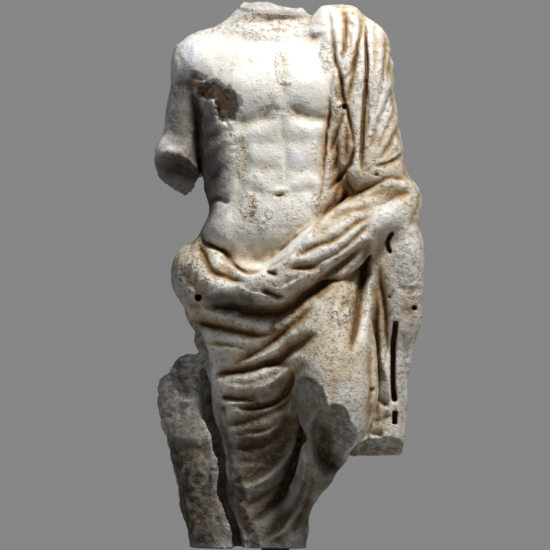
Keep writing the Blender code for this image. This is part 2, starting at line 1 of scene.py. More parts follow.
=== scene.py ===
import bpy
import numpy as np
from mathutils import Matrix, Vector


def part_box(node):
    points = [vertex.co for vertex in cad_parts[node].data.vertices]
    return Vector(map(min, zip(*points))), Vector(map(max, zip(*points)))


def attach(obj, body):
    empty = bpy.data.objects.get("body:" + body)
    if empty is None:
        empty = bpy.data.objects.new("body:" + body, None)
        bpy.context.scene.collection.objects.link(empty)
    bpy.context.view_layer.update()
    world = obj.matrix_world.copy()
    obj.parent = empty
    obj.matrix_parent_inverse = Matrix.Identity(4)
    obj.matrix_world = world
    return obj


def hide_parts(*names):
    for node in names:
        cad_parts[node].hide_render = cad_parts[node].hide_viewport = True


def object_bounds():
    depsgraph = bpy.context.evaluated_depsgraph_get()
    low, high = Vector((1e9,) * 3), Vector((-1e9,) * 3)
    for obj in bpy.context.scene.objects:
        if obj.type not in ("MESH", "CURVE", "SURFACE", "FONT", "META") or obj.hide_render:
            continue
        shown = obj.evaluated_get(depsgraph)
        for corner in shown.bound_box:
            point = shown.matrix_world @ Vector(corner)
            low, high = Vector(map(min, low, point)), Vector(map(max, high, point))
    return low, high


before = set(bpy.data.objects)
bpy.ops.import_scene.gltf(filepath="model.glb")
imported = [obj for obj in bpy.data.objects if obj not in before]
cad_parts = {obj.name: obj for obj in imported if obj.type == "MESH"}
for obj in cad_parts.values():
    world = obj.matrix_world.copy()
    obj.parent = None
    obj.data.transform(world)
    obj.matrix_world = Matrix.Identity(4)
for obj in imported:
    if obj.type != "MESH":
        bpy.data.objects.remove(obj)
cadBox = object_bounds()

import openvdb
from mathutils import Vector

# The figure is drawn in modules, hundredths of the marble's height. x runs to the viewer's right,
# y away from the viewer, z up from the marble's underside, which the steel post carries.
marbleBottom = float(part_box("marble_figure")[0][2])
postLow, postHigh = (np.array(v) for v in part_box("mount_post"))

marble = dict(
    height=0.765,             # metres, broken neck to underside
    step=0.2,                 # modules between the places where the skin is worked out
    triangles=190000,
    extent=((-24, 30), (-18, 14), (-1.2, 102.8)),
    socketRoom=0.0009,        # metres, round the post
    wear=((0.10, 2.2, 11), (0.07, 0.9, 12)),    # unevenness of the whole skin in modules: size, cell, seed
    facing=(0.2, 0.5, 0.3),     # where a side's map starts, its growth, and how far outwards a flank's leans
    hollows=dict(narrowValley=2, wideValley=6),     # coarse steps round a place that its depth is judged by
    ragged=((6, 1.0, 21), (2.6, 0.6, 22)),          # noise on the rims of bruises: cell, share, seed
)
module = marble["height"] / 100
tiny = 1e-6     # keeps a division or a root away from nought

# Rounds that stand upright: height, centre x, centre y, half width, depth in front, depth behind
torso = [(97, 0.0, 3.0, 6.5, 4.5, 4.0), (95, 0.0, 2.5, 9.5, 5.6, 5.2), (92.5, 0.2, 1.8, 13.2, 7.2, 6.3),
         (89, 0.3, 1.2, 14.6, 8.8, 7.3), (84, 0.3, 0.8, 14.6, 9.9, 8.0), (79, 0.3, 0.5, 14.3, 9.5, 8.0),
         (74, 0.3, 0.3, 14.2, 9.1, 7.4), (69, 0.4, 0.1, 13.8, 8.9, 6.8), (65, 0.6, 0.0, 13.4, 9.0, 6.6),
         (62, 0.8, 0.0, 12.9, 9.2, 6.9), (58, 0.9, 0.0, 14.4, 8.9, 8.0), (54, 0.7, 0.0, 16.6, 7.9, 9.2),
         (50, 0.4, 0.0, 18.2, 7.2, 9.8), (46, 0.2, 0.0, 18.0, 6.6, 9.0)]
skirt = [(56, 1.2, 0.0, 15.6, 6.6, 9.0), (52, 0.6, 0.0, 18.0, 7.8, 9.8), (48, 0.3, 0.0, 19.2, 9.8, 10.0),
         (44, 0.5, 0.0, 18.3, 10.4, 9.8), (40, 0.8, 0.0, 16.8, 10.0, 9.2), (36, 1.0, 0.0, 16.3, 9.4, 8.6),
         (32, 1.0, 0.0, 15.0, 8.6, 8.1), (28, 0.8, 0.0, 13.6, 7.6, 7.7), (24, 0.4, 0.2, 12.6, 6.8, 7.3),
         (20, -0.2, 0.4, 11.0, 6.2, 7.0), (16, -0.6, 0.6, 9.8, 5.9, 6.7), (12, -1.0, 0.8, 8.8, 5.8, 6.3),
         (8, -1.5, 1.0, 7.4, 5.8, 5.9), (4, -1.2, 1.0, 6.6, 5.8, 5.7), (-3, -1.0, 1.0, 6.4, 5.8, 5.6)]
shoulderCloth = [
    (99.2, 11.4, 2.6, 3.4, 4.0, 4.0), (97.6, 11.5, 2.4, 4.6, 5.6, 5.0), (96.2, 11.9, 2.2, 6.2, 6.8, 5.6),
    (94.5, 12.4, 2.0, 7.6, 7.9, 6.4), (92, 12.9, 1.8, 8.4, 8.8, 6.9), (89, 13.5, 1.5, 8.5, 9.3, 7.2),
    (86, 14.0, 1.3, 8.1, 9.5, 7.2), (80, 14.8, 1.0, 7.9, 9.3, 7.0), (74, 15.9, 0.6, 7.8, 9.0, 6.6),
    (68, 17.2, 0.2, 7.4, 8.6, 6.4), (64, 19.3, 0.0, 7.0, 7.8, 6.2), (58, 20.4, -0.4, 6.6, 7.2, 5.8),
    (52, 21.2, -0.6, 6.4, 6.9, 5.4), (46, 21.5, -0.6, 6.1, 6.4, 5.0), (41, 21.3, -0.4, 5.9, 5.6, 4.8),
    (37, 20.6, 0.0, 5.4, 4.8, 4.4), (32, 19.9, 0.4, 5.4, 4.4, 4.2), (26, 19.2, 0.8, 5.6, 4.0, 4.0),
    (21, 18.6, 1.2, 5.3, 3.8, 3.8), (16.6, 18.2, 1.6, 4.9, 3.6, 3.6)]
rightArm = [(92, -15.2, 1.2, 3.2, 3.6, 3.6), (88, -15.6, 1.0, 3.5, 4.4, 4.4),
            (84, -16.0, 0.9, 3.3, 4.4, 4.3), (80, -16.7, 0.8, 3.4, 4.1, 4.1),
            (76, -17.1, 0.7, 3.4, 3.9, 3.9), (72.5, -17.9, 0.4, 4.2, 4.3, 3.9),
            (69, -17.7, 0.3, 4.3, 4.4, 3.9), (64.2, -17.2, 0.3, 3.4, 3.8, 3.6)]
strut = [(35.2, -15.8, 0.5, 2.4, 3.6, 4.6), (33, -16.4, 0.5, 3.0, 4.2, 5.2), (29, -17.6, 0.3, 4.6, 4.7, 5.8),
         (25, -17.6, 0.3, 4.4, 4.8, 5.8), (20, -16.0, 0.4, 4.3, 4.8, 5.6), (15, -14.7, 0.5, 4.2, 4.8, 5.4),
         (10, -14.2, 0.6, 3.5, 4.8, 5.2), (5, -12.8, 0.8, 4.1, 4.8, 5.2), (-3, -11.0, 0.8, 3.8, 4.6, 5.0)]
strutTurn = (0.55, -15)                         # how far its front looks to the left, and about which x
strutFace = ((-11, 0, 30), (0.95, 0, 0.28))     # the plane to whose left the stone is the strut's
strutTop = 36

# Rounds that run freely: x, y, z, radius
waistRoll = [(24.0, 0.5, 64.0, 3.4), (19.5, -4.0, 61.8, 4.2), (13.5, -7.0, 57.4, 4.9),
             (7.5, -8.4, 52.4, 5.0), (1.0, -8.6, 47.9, 4.1), (-6.0, -7.8, 46.9, 4.1),
             (-11.5, -5.2, 48.4, 4.7), (-14.0, 0.0, 51.0, 4.9)]
thigh = [(8.0, -3.0, 43.0, 8.6), (10.6, -8.0, 31.5, 7.2), (11.0, -9.6, 24.0, 6.1)]
shin = [(10.8, -8.0, 22.5, 4.8), (7.0, -4.4, 14.0, 3.5), (3.5, -3.0, 8.0, 2.8), (2.6, -2.4, -2.0, 3.0)]
neck = [(-0.7, 3.0, 92, 6.0), (-0.3, 3.4, 103, 5.5)]
trapezius = [(-2, 4.5, 95.6, 4.0), (-11.5, 3.0, 90.9, 3.4)]
shoulder = ((-13.4, 1.2, 87.8), (5.5, 6.4, 6.4))
strutWeb = [(-12.0, 2.5, 33, 3.4), (-11.5, 2.8, 18, 3.6), (-8.5, 2.6, -2, 3.8)]
armWeb = [(-13.4, 2.6, 87, 2.6), (-14.0, 2.6, 77, 2.4), (-14.0, 2.6, 69.5, 2.0)]

# Edges of cloth that lie over what is beneath: height of the step, softness, how far it runs back, side and
# points
clothEdge = [(-13.3, 57.5), (-12.8, 55.4), (-9.2, 53.8), (-6.5, 50.8), (-2, 50.4), (2, 53), (4, 54.8),
             (7.4, 59)]
drapeEdge = [(7.4, 59.5), (8.2, 66), (9.2, 73), (9.9, 79), (10.3, 85), (11, 88), (10.4, 91), (10, 94),
             (9.8, 99)]
rollFoot = [(-13, 43.6), (-7, 43.4), (-3, 42.8), (0, 42.6), (3, 43.7), (6, 46.0), (10, 49.6), (13, 52.3),
            (16.8, 56)]
rollHead = [(7.3, 59.3), (9, 61), (11, 62.4), (15, 64.5), (18.5, 66.3), (21, 67.1), (25, 67)]
clothSteps = [(0.8, 0.3, 4.0, -1, clothEdge), (0.5, 0.3, 3.0, -1, drapeEdge),
              (0.5, 0.4, 3.0, -1, rollFoot), (0.3, 0.4, 2.5, -1, rollHead)]

# Valleys between folds: depth, half width, points, lean, drilled depth. A line drawn to the right or down has
# its gentle side above or to the right where the lean is positive
shoulderValleys = [
    (0.8, 0.32, [(9.8, 98.5), (10, 95), (10.5, 91), (11.2, 87.5), (12.2, 83), (13, 79.3), (14.3, 74)],
     0.2, 0.3),
    (0.9, 0.36, [(15.6, 98), (15.5, 93.5), (14.6, 89.5), (13.6, 86.5), (12.3, 84.6)], 0.3, 0.3),
    (0.7, 0.30, [(15.0, 90.5), (14.0, 86), (13.3, 82.5), (12.7, 80)], 0.3, 0.2),
    (0.6, 0.30, [(12.4, 80), (11.6, 77.3), (10.8, 75), (9.9, 71.5)], -0.3, 0.2),
    (0.6, 0.30, [(12.8, 79.8), (13.7, 76.4), (14.2, 72.5)], 0.3, 0.2),
    (0.9, 0.42, [(12.4, 98.4), (12.9, 95), (12.4, 91.2), (11.7, 88.5)], -0.2, 0.2),
    (0.5, 0.30, [(12.7, 97.8), (13.7, 95.6), (15.2, 94.0)], 0, 0.2),
    (0.5, 0.30, [(13.2, 95), (13.8, 91.5), (13.9, 88.5)], 0, 0.2),
    (0.9, 0.34, [(15.9, 98), (16.6, 92), (16.6, 84.5), (16, 78), (15.8, 72), (15.9, 67.5)], 0.4, 0.7),
    (0.6, 0.30, [(17.0, 84.5), (16.8, 79), (16.4, 74.5)], 0.3, 0.3),
    (0.5, 0.34, [(17.9, 97), (18.4, 91), (17.9, 84), (17.2, 77.5)], -0.3),
    (0.6, 0.36, [(20.2, 93.5), (20, 88), (19.1, 82), (18.2, 78.5)], 0.4, 0.2),
    (0.3, 0.30, [(21.0, 92), (20.9, 88), (20.6, 85)], 0.3, 0.2),
    (0.6, 0.36, [(22.2, 85.4), (20.2, 81), (18.6, 77), (17.3, 72.5)], 0.5, 0.2),
    (0.35, 0.30, [(22.6, 82), (21.0, 78.4), (19.8, 75.6), (18.6, 72.2)], 0.5, 0.2),
    (0.55, 0.34, [(23.2, 78.2), (21.4, 75), (20.0, 72.6), (18.8, 70.4)], 0.5, 0.2),
    (0.35, 0.30, [(23.6, 75), (21.8, 72.6), (20.3, 71.2), (19.0, 70.4)], 0.5),
    (0.55, 0.34, [(24.0, 72.6), (21.8, 70.8), (19.9, 69.9), (18.0, 69.4)], 0.5, 0.2),
    (0.8, 0.36, [(14.5, 73.5), (13.9, 70.3), (12.8, 68.5), (11.2, 66.8), (9.4, 64.8)], -0.5, 0.4),
    (0.5, 0.30, [(12.7, 77.5), (12.9, 73), (12.8, 69.5)], 0.2, 0.2),
    (0.5, 0.30, [(11.3, 74.5), (11.2, 71), (10.4, 67.6)], 0.2, 0.1),
    (0.2, 0.30, [(9.4, 82), (9.5, 76), (9.4, 70)], 0.2),
    (0.2, 0.24, [(9.9, 81), (9.1, 74), (8.6, 68), (7.8, 61)], 0.2, 0.5),
    (0.4, 0.30, [(11.6, 66.8), (11.1, 64.4), (10.3, 61.6)], 0, 0.3),
    (0.4, 0.30, [(13.1, 69), (13.3, 66.5), (14.6, 64.3)], 0, 0.3),
    (0.5, 0.36, rollHead, 0.6, 0.2)]
rollValleys = [
    (1.2, 0.55, [(8.2, 59), (11, 60.4), (14, 61.3), (17, 61.9), (19.5, 62.8), (22, 64.2), (25.4, 65)], 0.4),
    (0.5, 0.35, [(12, 62.1), (15, 63.3), (18.5, 64.4), (22, 65.6)], 0.3),
    (0.6, 0.35, [(4.8, 55.5), (7.5, 57.3), (10.5, 59), (13.5, 60), (17, 60.7)], 0.4),
    (1.3, 0.55, [(2.6, 53), (5, 54), (8, 55), (11, 56.5), (14, 58.4), (16, 59.8), (18.2, 61.7)], 0.4, 0.2),
    (0.5, 0.35, [(5, 52.8), (8.5, 53.9), (12, 55.8), (15, 57.8)], 0.3),
    (1.2, 0.50, [(2.4, 51.0), (5, 51.0), (7.6, 51.7), (10, 53.3), (12.5, 54.9), (14.5, 56.4), (16, 58),
                 (17.6, 60)], 0.5, 0.3),
    (0.8, 0.42, [(0.5, 48.4), (2.5, 48.6), (5, 49.7), (8, 51.0), (10.6, 52.4), (13, 54.2)], 0.3),
    (2.6, 1.10, rollFoot, 0.6, 0.3),
    (0.8, 0.50, [(6, 44.9), (8.3, 46.6), (10.3, 48.6), (12, 50.8)], 0.3),
    (1.2, 0.50, [(-2.6, 47), (-1, 46.5), (1, 46), (2.3, 46.2)], 0.3, 0.6),
    (0.8, 0.40, [(-1.9, 50.3), (-0.6, 50.1), (0.6, 49.9)], 0, 0.5),
    (1.2, 0.60, [(-14.2, 55.4), (-13, 53), (-12, 51.3), (-11, 50.3), (-9, 49.5), (-7, 48.8), (-4.8, 48.5)],
     0.3, 0.3),
    (0.9, 0.42, [(-13.3, 57.5), (-13, 55.6), (-11, 54.6), (-9.3, 53.9), (-8.2, 52.2), (-6.5, 50.8),
                 (-4.5, 50.1), (-2, 50)], -0.3, 0.5),
    (0.8, 0.60, [(-10.4, 51.6), (-9, 50.8), (-7.4, 50.2)]),
    (0.5, 0.40, [(-10.2, 53.3), (-9, 52.5), (-8.3, 52.2)], 0, 0.4),
    (0.7, 0.60, [(-17.5, 51.5), (-16, 49), (-13.6, 47.2), (-10.6, 46.5)], 0.3),
    (0.6, 0.55, [(-18.2, 47), (-16, 44.6), (-13, 43.4)], 0.3)]
thighValleys = [
    (1.6, 0.75, [(-16.5, 41.4), (-13, 40.6), (-9, 39.8), (-5.5, 39.1), (-2.6, 38.8), (0.5, 39.6)], 0.6, 0.4),
    (1.7, 0.85, [(-8.4, 33.4), (-5, 34.8), (-2, 36.6), (0, 38.1), (2.5, 40.3), (5.2, 42.6), (7.5, 45)],
     0.7, 0.2),
    (0.6, 0.40, [(-12.5, 37.4), (-9, 37.0), (-5.8, 36.4), (-4.4, 36.4)], 0.4, 0.2),
    (2.0, 0.90, [(-12.6, 31.7), (-9, 31.9), (-5, 32.5), (-2, 33.3), (1, 34.7), (4, 37.0), (7.6, 39.6)],
     0.7, 0.3),
    (0.8, 0.50, [(-9.4, 30.2), (-6, 30.0), (-3, 30.6), (0, 31.9), (2.2, 33.6)], 0.5),
    (1.8, 0.85, [(-7.5, 25.8), (-4, 25.7), (-1, 26.3), (1, 27.5), (2.6, 29.5), (3.8, 31.8), (5.4, 34.6)],
     0.7, 0.3),
    (1.0, 0.55, [(-10.8, 27.8), (-8, 27.2), (-5.5, 27.1), (-3.0, 27.4)], 0.6, 0.3),
    (1.3, 0.70, [(-9.6, 22.4), (-6, 22.9), (-3, 23.9), (0, 25.0), (2.2, 26.8), (3.6, 29.4)], 0.6),
    (0.6, 0.45, [(-8.6, 20.6), (-5, 20.9), (-2.2, 21.7), (0.4, 23.2)], 0.5),
    (1.2, 0.75, [(-8.2, 18.2), (-4.5, 18.4), (-1.2, 19.6), (1.2, 21.6), (2.7, 24.6)], 0.7),
    (1.3, 0.80, [(-7.6, 11.9), (-4.6, 12.7), (-2, 14.6), (0.2, 16.7), (2, 20), (3.4, 25)], 0.7),
    (0.6, 0.45, [(-7.4, 15.4), (-4.2, 15.9), (-1.6, 17.2), (0.4, 19)], 0.5),
    (1.9, 0.75, [(5.4, 27), (4.6, 21.5), (3.6, 17), (2.6, 13.5), (1.0, 10), (-0.8, 7.7), (-4.4, 4.4)],
     -0.4, 0.3),
    (0.9, 0.55, [(0.8, 12.4), (-1.5, 10), (-5.4, 7)], 0.5),
    (0.8, 0.50, [(5.8, 16), (4.8, 11), (3, 7), (0, 3.6), (-2.4, 1.2)], -0.4),
    (0.6, 0.40, [(7.0, 14), (6.0, 10), (4.8, 6), (2.8, 2.4)], -0.3),
    (2.2, 0.85, [(-13.0, 34.5), (-12.7, 30), (-12.4, 25), (-11.2, 20), (-10.2, 15), (-10, 10), (-8.6, 5),
                 (-6.8, 0)])]
hangingValleys = [
    (1.7, 0.62, [(17.2, 56.2), (16.4, 53.5), (15.9, 51.5), (15.5, 48), (14.9, 44), (14.4, 40), (13.8, 35.6)],
     -0.5, 0.3),
    (0.6, 0.40, [(13.6, 52.4), (13.6, 48.6), (12.6, 44.4), (11.4, 41)], -0.3),
    (0.5, 0.34, [(11.6, 50.4), (11.0, 46), (9.4, 41.5)], -0.3),
    (1.0, 0.42, [(18.8, 51.5), (19.5, 46), (20.1, 42), (20.4, 37), (20.6, 33)], -0.3, 0.3),
    (0.8, 0.36, [(17.2, 20.6), (19.8, 20.7)]),
    (0.8, 0.36, [(18.4, 27.4), (19.5, 26.8), (20.6, 25.8)], 0, 0.2),
    (0.6, 0.36, [(17.2, 22.8), (19, 23.3), (21.2, 24.6)]),
    (1.0, 0.50, [(17.0, 38), (17.2, 30), (17.0, 24), (16.8, 18)], -0.3, 0.3),
    (0.8, 0.40, [(18.4, 48), (18.4, 38), (18.6, 30), (18.2, 21)], -0.3, 0.2),
    (0.5, 0.36, [(23.3, 40), (23.4, 31), (23.2, 20)])]

# Channels run with the drill, straight and steep: depth, half width, points
slots = [
    (3.4, 0.42, [(21.9, 41.6), (21.5, 37), (21.4, 31), (21.7, 26.5)]),
    (3.2, 0.38, [(21.8, 25), (21.7, 22.4)]),
    (1.4, 0.30, [(21.3, 57.6), (20.4, 56.2), (20.4, 55), (20.9, 53.6)]),
    (5.0, 0.75, [(-12.9, 33.6), (-12.6, 28), (-12.3, 24), (-11.1, 19.5), (-10.1, 15), (-9.9, 10),
                 (-8.5, 5.4), (-7.0, 2), (-6.4, -2)])]

# Thin crests along the lips of folds: height, half width, points
crests = [
    (0.35, 0.35, [(-7, 33.2), (-4, 34.1), (0, 36.1), (2, 37.6)]),
    (0.35, 0.35, [(-4.3, 29.0), (-1, 30.0), (1.3, 31.7), (3.2, 33.8)]),
    (0.35, 0.30, [(-10, 26.9), (-8, 26.5), (-5, 26.5), (-3.2, 26.6)]),
    (0.35, 0.35, [(-4.8, 25.0), (-1.5, 25.4), (1, 26.6), (3, 28.8)]),
    (0.40, 0.35, [(-6, 20.3), (-3, 20.6), (0, 22), (1.2, 23.6)]),
    (0.45, 0.40, [(4.6, 25), (3.9, 21), (3, 18), (1.5, 15.8), (-1, 13.4), (-3.5, 11.7), (-7.5, 10.2)]),
    (0.40, 0.40, [(-2, 1), (0, 2.3), (2, 4), (4, 6.5), (5, 8)]),
    (0.30, 0.30, [(-7, 47.7), (-5, 46.8), (-3, 46.2), (-1, 45.6), (1.2, 45), (2.6, 45.9)]),
    (0.30, 0.30, [(-2.8, 47.9), (0, 47.1), (2.5, 48), (5, 49.3)]),
    (0.30, 0.35, [(-12.6, 54.6), (-10.5, 53.9), (-9, 52.8), (-7.5, 51.2), (-5.5, 49.9), (-2, 49.6)]),
    (0.30, 0.40, [(19.5, 38), (19.6, 34), (20.4, 30), (21, 27)]),
    (0.35, 0.50, [(17.8, 56), (17.4, 50), (16.8, 44), (16.3, 37)]),
    (0.35, 0.50, [(-4.5, 97.4), (0, 97.3), (5, 97.5)])]

# Flesh: valleys as above, and swellings or pits: height, centre x, centre z, half width, half height
fleshValleys = [
    (0.65, 1.4, [(-8.3, 77.1), (-4, 77.5), (-2, 78.6), (0.6, 80.4)]),
    (0.75, 1.3, [(1.8, 80.7), (4, 79.2), (6, 78.3), (9.7, 78.3)]),
    (0.45, 0.8, [(1.4, 92), (1.6, 86), (1.2, 80)]),
    (0.28, 0.8, [(1.2, 79), (1.8, 72), (1.5, 65.5)]),
    (0.20, 1.3, [(-5.4, 74.4), (-1.5, 73.7), (4.5, 73.8), (8, 74.6)]),
    (0.20, 1.3, [(-5.6, 69.2), (-1.5, 68.8), (4.5, 68.9), (8, 69.4)]),
    (0.20, 0.8, [(-5.4, 65.0), (-1.5, 64.9)]),
    (0.20, 0.8, [(2.5, 64.9), (7.6, 65.2)]),
    (0.45, 1.1, [(-6.6, 76), (-5.9, 71), (-6.4, 66), (-7.6, 60)]),
    (0.3, 1.0, [(8.4, 77), (8, 72), (7.4, 66)]),
    (0.8, 0.6, [(-12.4, 62.2), (-10.4, 63.4), (-7.8, 62.7)]),
    (0.35, 0.9, [(-12.8, 74), (-10, 75.2), (-7.6, 77)]),
    (0.25, 0.8, [(-13, 70.5), (-10.8, 71.6), (-9, 73.5)]),
    (0.25, 0.8, [(-12.6, 67.3), (-10.6, 68.2), (-9, 70)]),
    (0.5, 0.6, [(-15.5, 86.3), (-13.6, 85.7), (-12, 85)]),
    (0.3, 0.9, [(-11.5, 92.6), (-6, 93.0), (-1.2, 92.6)]),
    (0.3, 0.9, [(3.4, 92.6), (6, 93), (9.5, 92.6)])]
swellings = [(0.9, -6.3, 83.6, 6.4, 5.2), (0.8, 5.4, 84.0, 5.0, 5.0), (1.3, -10.6, 59, 3.0, 3.8),
             (0.7, 0.6, 58.4, 6.5, 5.0), (0.26, -2.2, 76, 2.6, 2.1), (0.26, 4.6, 76, 2.6, 2.1),
             (0.3, -2.2, 71.4, 2.8, 2.2), (0.3, 4.8, 71.4, 2.8, 2.2), (0.25, -2.2, 66.9, 2.8, 1.7),
             (0.25, 4.6, 66.9, 2.8, 1.7), (0.45, -6.5, 94.6, 5.5, 0.9), (0.4, 6, 94.4, 3.6, 0.9),
             (0.35, -9.8, 72.5, 2.2, 3.6), (-0.8, 0.7, 64.1, 0.8, 0.32), (0.25, 0.6, 65.2, 1.8, 0.5),
             (1.0, 20.4, 60, 3.0, 2.8), (0.9, 24.4, 53, 2.2, 6.0), (-0.6, 5, 51.0, 2.4, 0.8),
             (0.8, 11.0, 40, 3.2, 7.0), (-1.4, 6.8, 19, 1.5, 5.5), (-0.8, -9.6, 25.4, 0.7, 0.9),
             (0.6, 8.6, 33, 2.4, 4.0), (-0.8, -4.2, 17.0, 4.2, 2.6), (-0.7, 0.5, 33.6, 2.6, 0.8)]

# Bruises, chips and drilled holes with steep sides: depth, centre x, centre z, half width, half height, and
# how ragged the rim is
bruises = [(1.1, -8.9, 80.6, 2.3, 3.2, 0.45), (0.9, -11.6, 83.2, 2.7, 1.8, 0.45),
           (0.10, -4.8, 62, 1.3, 2.3, 0.5), (0.35, 0.6, 95.9, 3.8, 1.2, 0.5),
           (0.3, 1.0, 94.2, 1.0, 0.8, 0.4), (0.3, -10.6, 34.4, 2.6, 1.6, 0.5),
           (0.25, -9.4, 44.6, 2.6, 2.2, 0.5), (0.3, -17.6, 46, 1.3, 4.0, 0.5),
           (2.0, -14, 45.7, 0.65, 0.65, 0.1), (1.4, 12.4, 80.3, 0.45, 0.5, 0.1),
           (1.2, 25.2, 43.8, 0.5, 0.5, 0.1), (1.0, 17.5, 29, 0.5, 0.6, 0.2),
           (0.6, 20.7, 45.8, 0.3, 0.3, 0.1), (0.3, 24.2, 47.0, 2.2, 1.2, 0.6),
           (0.3, 25.2, 58.5, 1.6, 2.6, 0.5), (0.2, -15.3, 50.6, 2.9, 3.2, 0.9),
           (0.2, -12.6, 44.6, 2.2, 1.6, 0.9), (0.2, 24, 50, 2.2, 7.0, 0.9), (0.15, 12, 44, 3.0, 2.6, 0.9),
           (0.5, 18.3, 68, 0.4, 0.4, 0.2), (0.25, 11.2, 82.4, 0.5, 1.5, 0.6)]

# Where stone has broken off: a place on the face, which way it looks, how rough it is, the egg that holds the
# break, by its centre and half widths, and how bare the stone is left
breaks = [
    ((0, -1, 98.3), (0.10, -0.20, 1), 0.5, (-1, 2, 102), (10.2, 14, 7.0), 0.7),
    ((-18.6, -3.4, 71.3), (-0.22, -0.66, -0.72), 0.6, (-19.5, 0, 66), (6.0, 9, 8.5), 1.0),
    ((9.4, -14.5, 25.6), (-0.50, -0.66, -0.56), 0.75, (11.5, -14, 18.5), (6.5, 9, 8.2), 1.0),
    ((7.4, -13.9, 26), (-0.80, -0.58, -0.12), 0.5, (5.5, -13, 25), (4.5, 7, 6.5), 0.9),
    ((-20.5, -1.5, 29.9), (0.08, -0.77, 0.64), 0.4, (-17.4, -4, 33.4), (5.4, 7, 8.6), 1.0),
    ((20.5, -2.6, 20.2), (0.05, -0.62, -0.78), 0.5, (20.5, -3, 16), (6.0, 8, 4.9), 1.0),
    ((-15.6, -4.2, 90.4), (-0.50, -0.72, 0.48), 0.15, (-15.4, -6, 90.4), (2.3, 5, 3.1), 0.2)]

# Where the stone is stained, worn or freshly chipped, and where shade is painted on it: centre x, centre z,
# half width, half height
stains = dict(
    bruised=[(-8.9, 80.6, 2.2, 3.0), (-11.8, 83.2, 2.6, 1.6), (-14.6, 84.9, 1.6, 0.8)],
    pitted=[(-4.8, 62, 1.6, 2.5), (-2.4, 58.6, 0.9, 1.6), (-6.1, 70.5, 1.0, 4.0), (-1, 61, 1.0, 1.0),
            (0.8, 88, 0.9, 3.5), (2.0, 84.6, 1.4, 0.6), (11.2, 82.5, 1.2, 3.0), (0, 95.2, 8, 3.0),
            (9.4, 90, 1.4, 3), (-15.5, 50, 3.2, 4), (-1.2, 79.5, 2.0, 1.4), (7.4, 63, 1.0, 3),
            (-8, 74.6, 2.6, 1.2), (12, 43.5, 3.0, 2.6), (1, 40, 2, 1.6), (-12, 95, 4, 1.4)],
    fresh=[(-15.5, 90.4, 1.5, 2.3), (-2.8, 79.2, 0.8, 0.6), (-4, 75, 0.5, 0.6), (-7.7, 71.5, 0.5, 0.5),
           (1.5, 70, 0.2, 4.0), (4, 71, 1.0, 1.2)],
    bleached=[(13.8, 25.5, 2.2, 4.8), (12.6, 28.5, 1.8, 2.6), (-9.6, 44.4, 3.4, 2.6), (-17.4, 46, 1.6, 5),
              (-10.5, 34.6, 2.8, 1.8), (24, 52, 3.4, 8.5), (23.6, 31, 1.2, 9), (19, 81, 2.0, 6.0),
              (20.5, 61, 3.6, 2.6)],
    rusty=[(19.7, 92.5, 1.3, 1.4), (-13.4, 45.8, 2.0, 1.1), (12.4, 65.6, 3.2, 2.6), (13.1, 73.6, 0.8, 4.5),
           (-17, 71.2, 4.0, 1.4), (4.6, 51.6, 3.2, 1.4), (12.6, 93.5, 0.9, 4.5), (24.4, 44.5, 1.8, 3.5),
           (9.2, 78.3, 1.6, 0.9), (-9, 50.6, 2.4, 1.4), (16.4, 54.5, 1.0, 2.5), (9.0, 72, 0.8, 7),
           (1, 97, 8, 1.2)],
    # painted shade with some grime: the lower left, the strut, the arm and its break, the left flank, and
    # under the roll and the knee are darkened where shadow falls
    grimeAndPaintedShade=[(-3, 9, 13, 20), (-14.5, 9, 6.5, 15), (-16.6, 79, 3.2, 8), (-13.2, 70, 5.0, 13),
            (-8, 45, 5.5, 1.6), (12, 12, 6, 5), (9.0, 18.5, 1.6, 4.0), (-17.4, 67.5, 5, 4.4),
            (-19, 12, 5, 10)])

# The back, which the photograph doesn't show: valleys as above, the sash's upper edge, and how many folds
spine = (1.0, 1.1, [(0.3, 92), (0.2, 80), (0.4, 70)])
shoulderBlade = (0.5, 1.4, [(-11, 88), (-6.5, 82), (-5.5, 77)])
sashEdge = [(-17, 57), (-8, 62.5), (1, 71), (6, 82), (9, 98)]
backFolds = dict(sash=6, hanging=7, side=6)


def smoothRows(rows, at):
    # values at the heights asked for: a cubic through the rows whose slopes are harmonic means of the secants
    rows = np.array(sorted(rows), dtype=float)
    knots, values = rows[:, 0], rows[:, 1:]
    secants = np.diff(values, axis=0) / np.diff(knots)[:, None]
    both = secants[1:] * secants[:-1]
    slopes = np.zeros_like(values)
    slopes[1:-1] = np.where(both > 0, 2 * both / (secants[1:] + secants[:-1] + 1e-12), 0)
    slopes[0], slopes[-1] = secants[0], secants[-1]
    at = np.clip(at, knots[0], knots[-1])
    i = np.clip(np.searchsorted(knots, at, side="right") - 1, 0, len(knots) - 2)
    h = (knots[i + 1] - knots[i])[:, None]
    t = (at - knots[i])[:, None] / h
    return ((1 + 2 * t) * (1 - t) ** 2 * values[i] + t * (1 - t) ** 2 * h * slopes[i]
            + t * t * (3 - 2 * t) * values[i + 1] + t * t * (t - 1) * h * slopes[i + 1]).T


def smoothLine(points, parts=5):
    # a Catmull-Rom line through a few points
    p = np.array(points, float)
    p = np.vstack([2 * p[0] - p[1], p, 2 * p[-1] - p[-2]])
    t = np.linspace(0, 1, parts, endpoint=False)[:, None]
    runs = [0.5 * (2 * b + (c - a) * t + (2 * a - 5 * b + 4 * c - d) * t ** 2
                   + (3 * b - a - 3 * c + d) * t ** 3)
            for a, b, c, d in zip(p[:-3], p[1:-2], p[2:-1], p[3:])]
    return np.vstack(runs + [p[-2:-1]])


def melt(a, b, k):
    # the lower of two fields, with a fillet about k wide
    h = np.clip(k - np.abs(a - b), 0, None)
    return np.minimum(a, b) - h * h / (4 * k)


def keepBoth(a, b, k):
    # the higher of two fields, with a fillet about k wide
    return -melt(-a, -b, k)


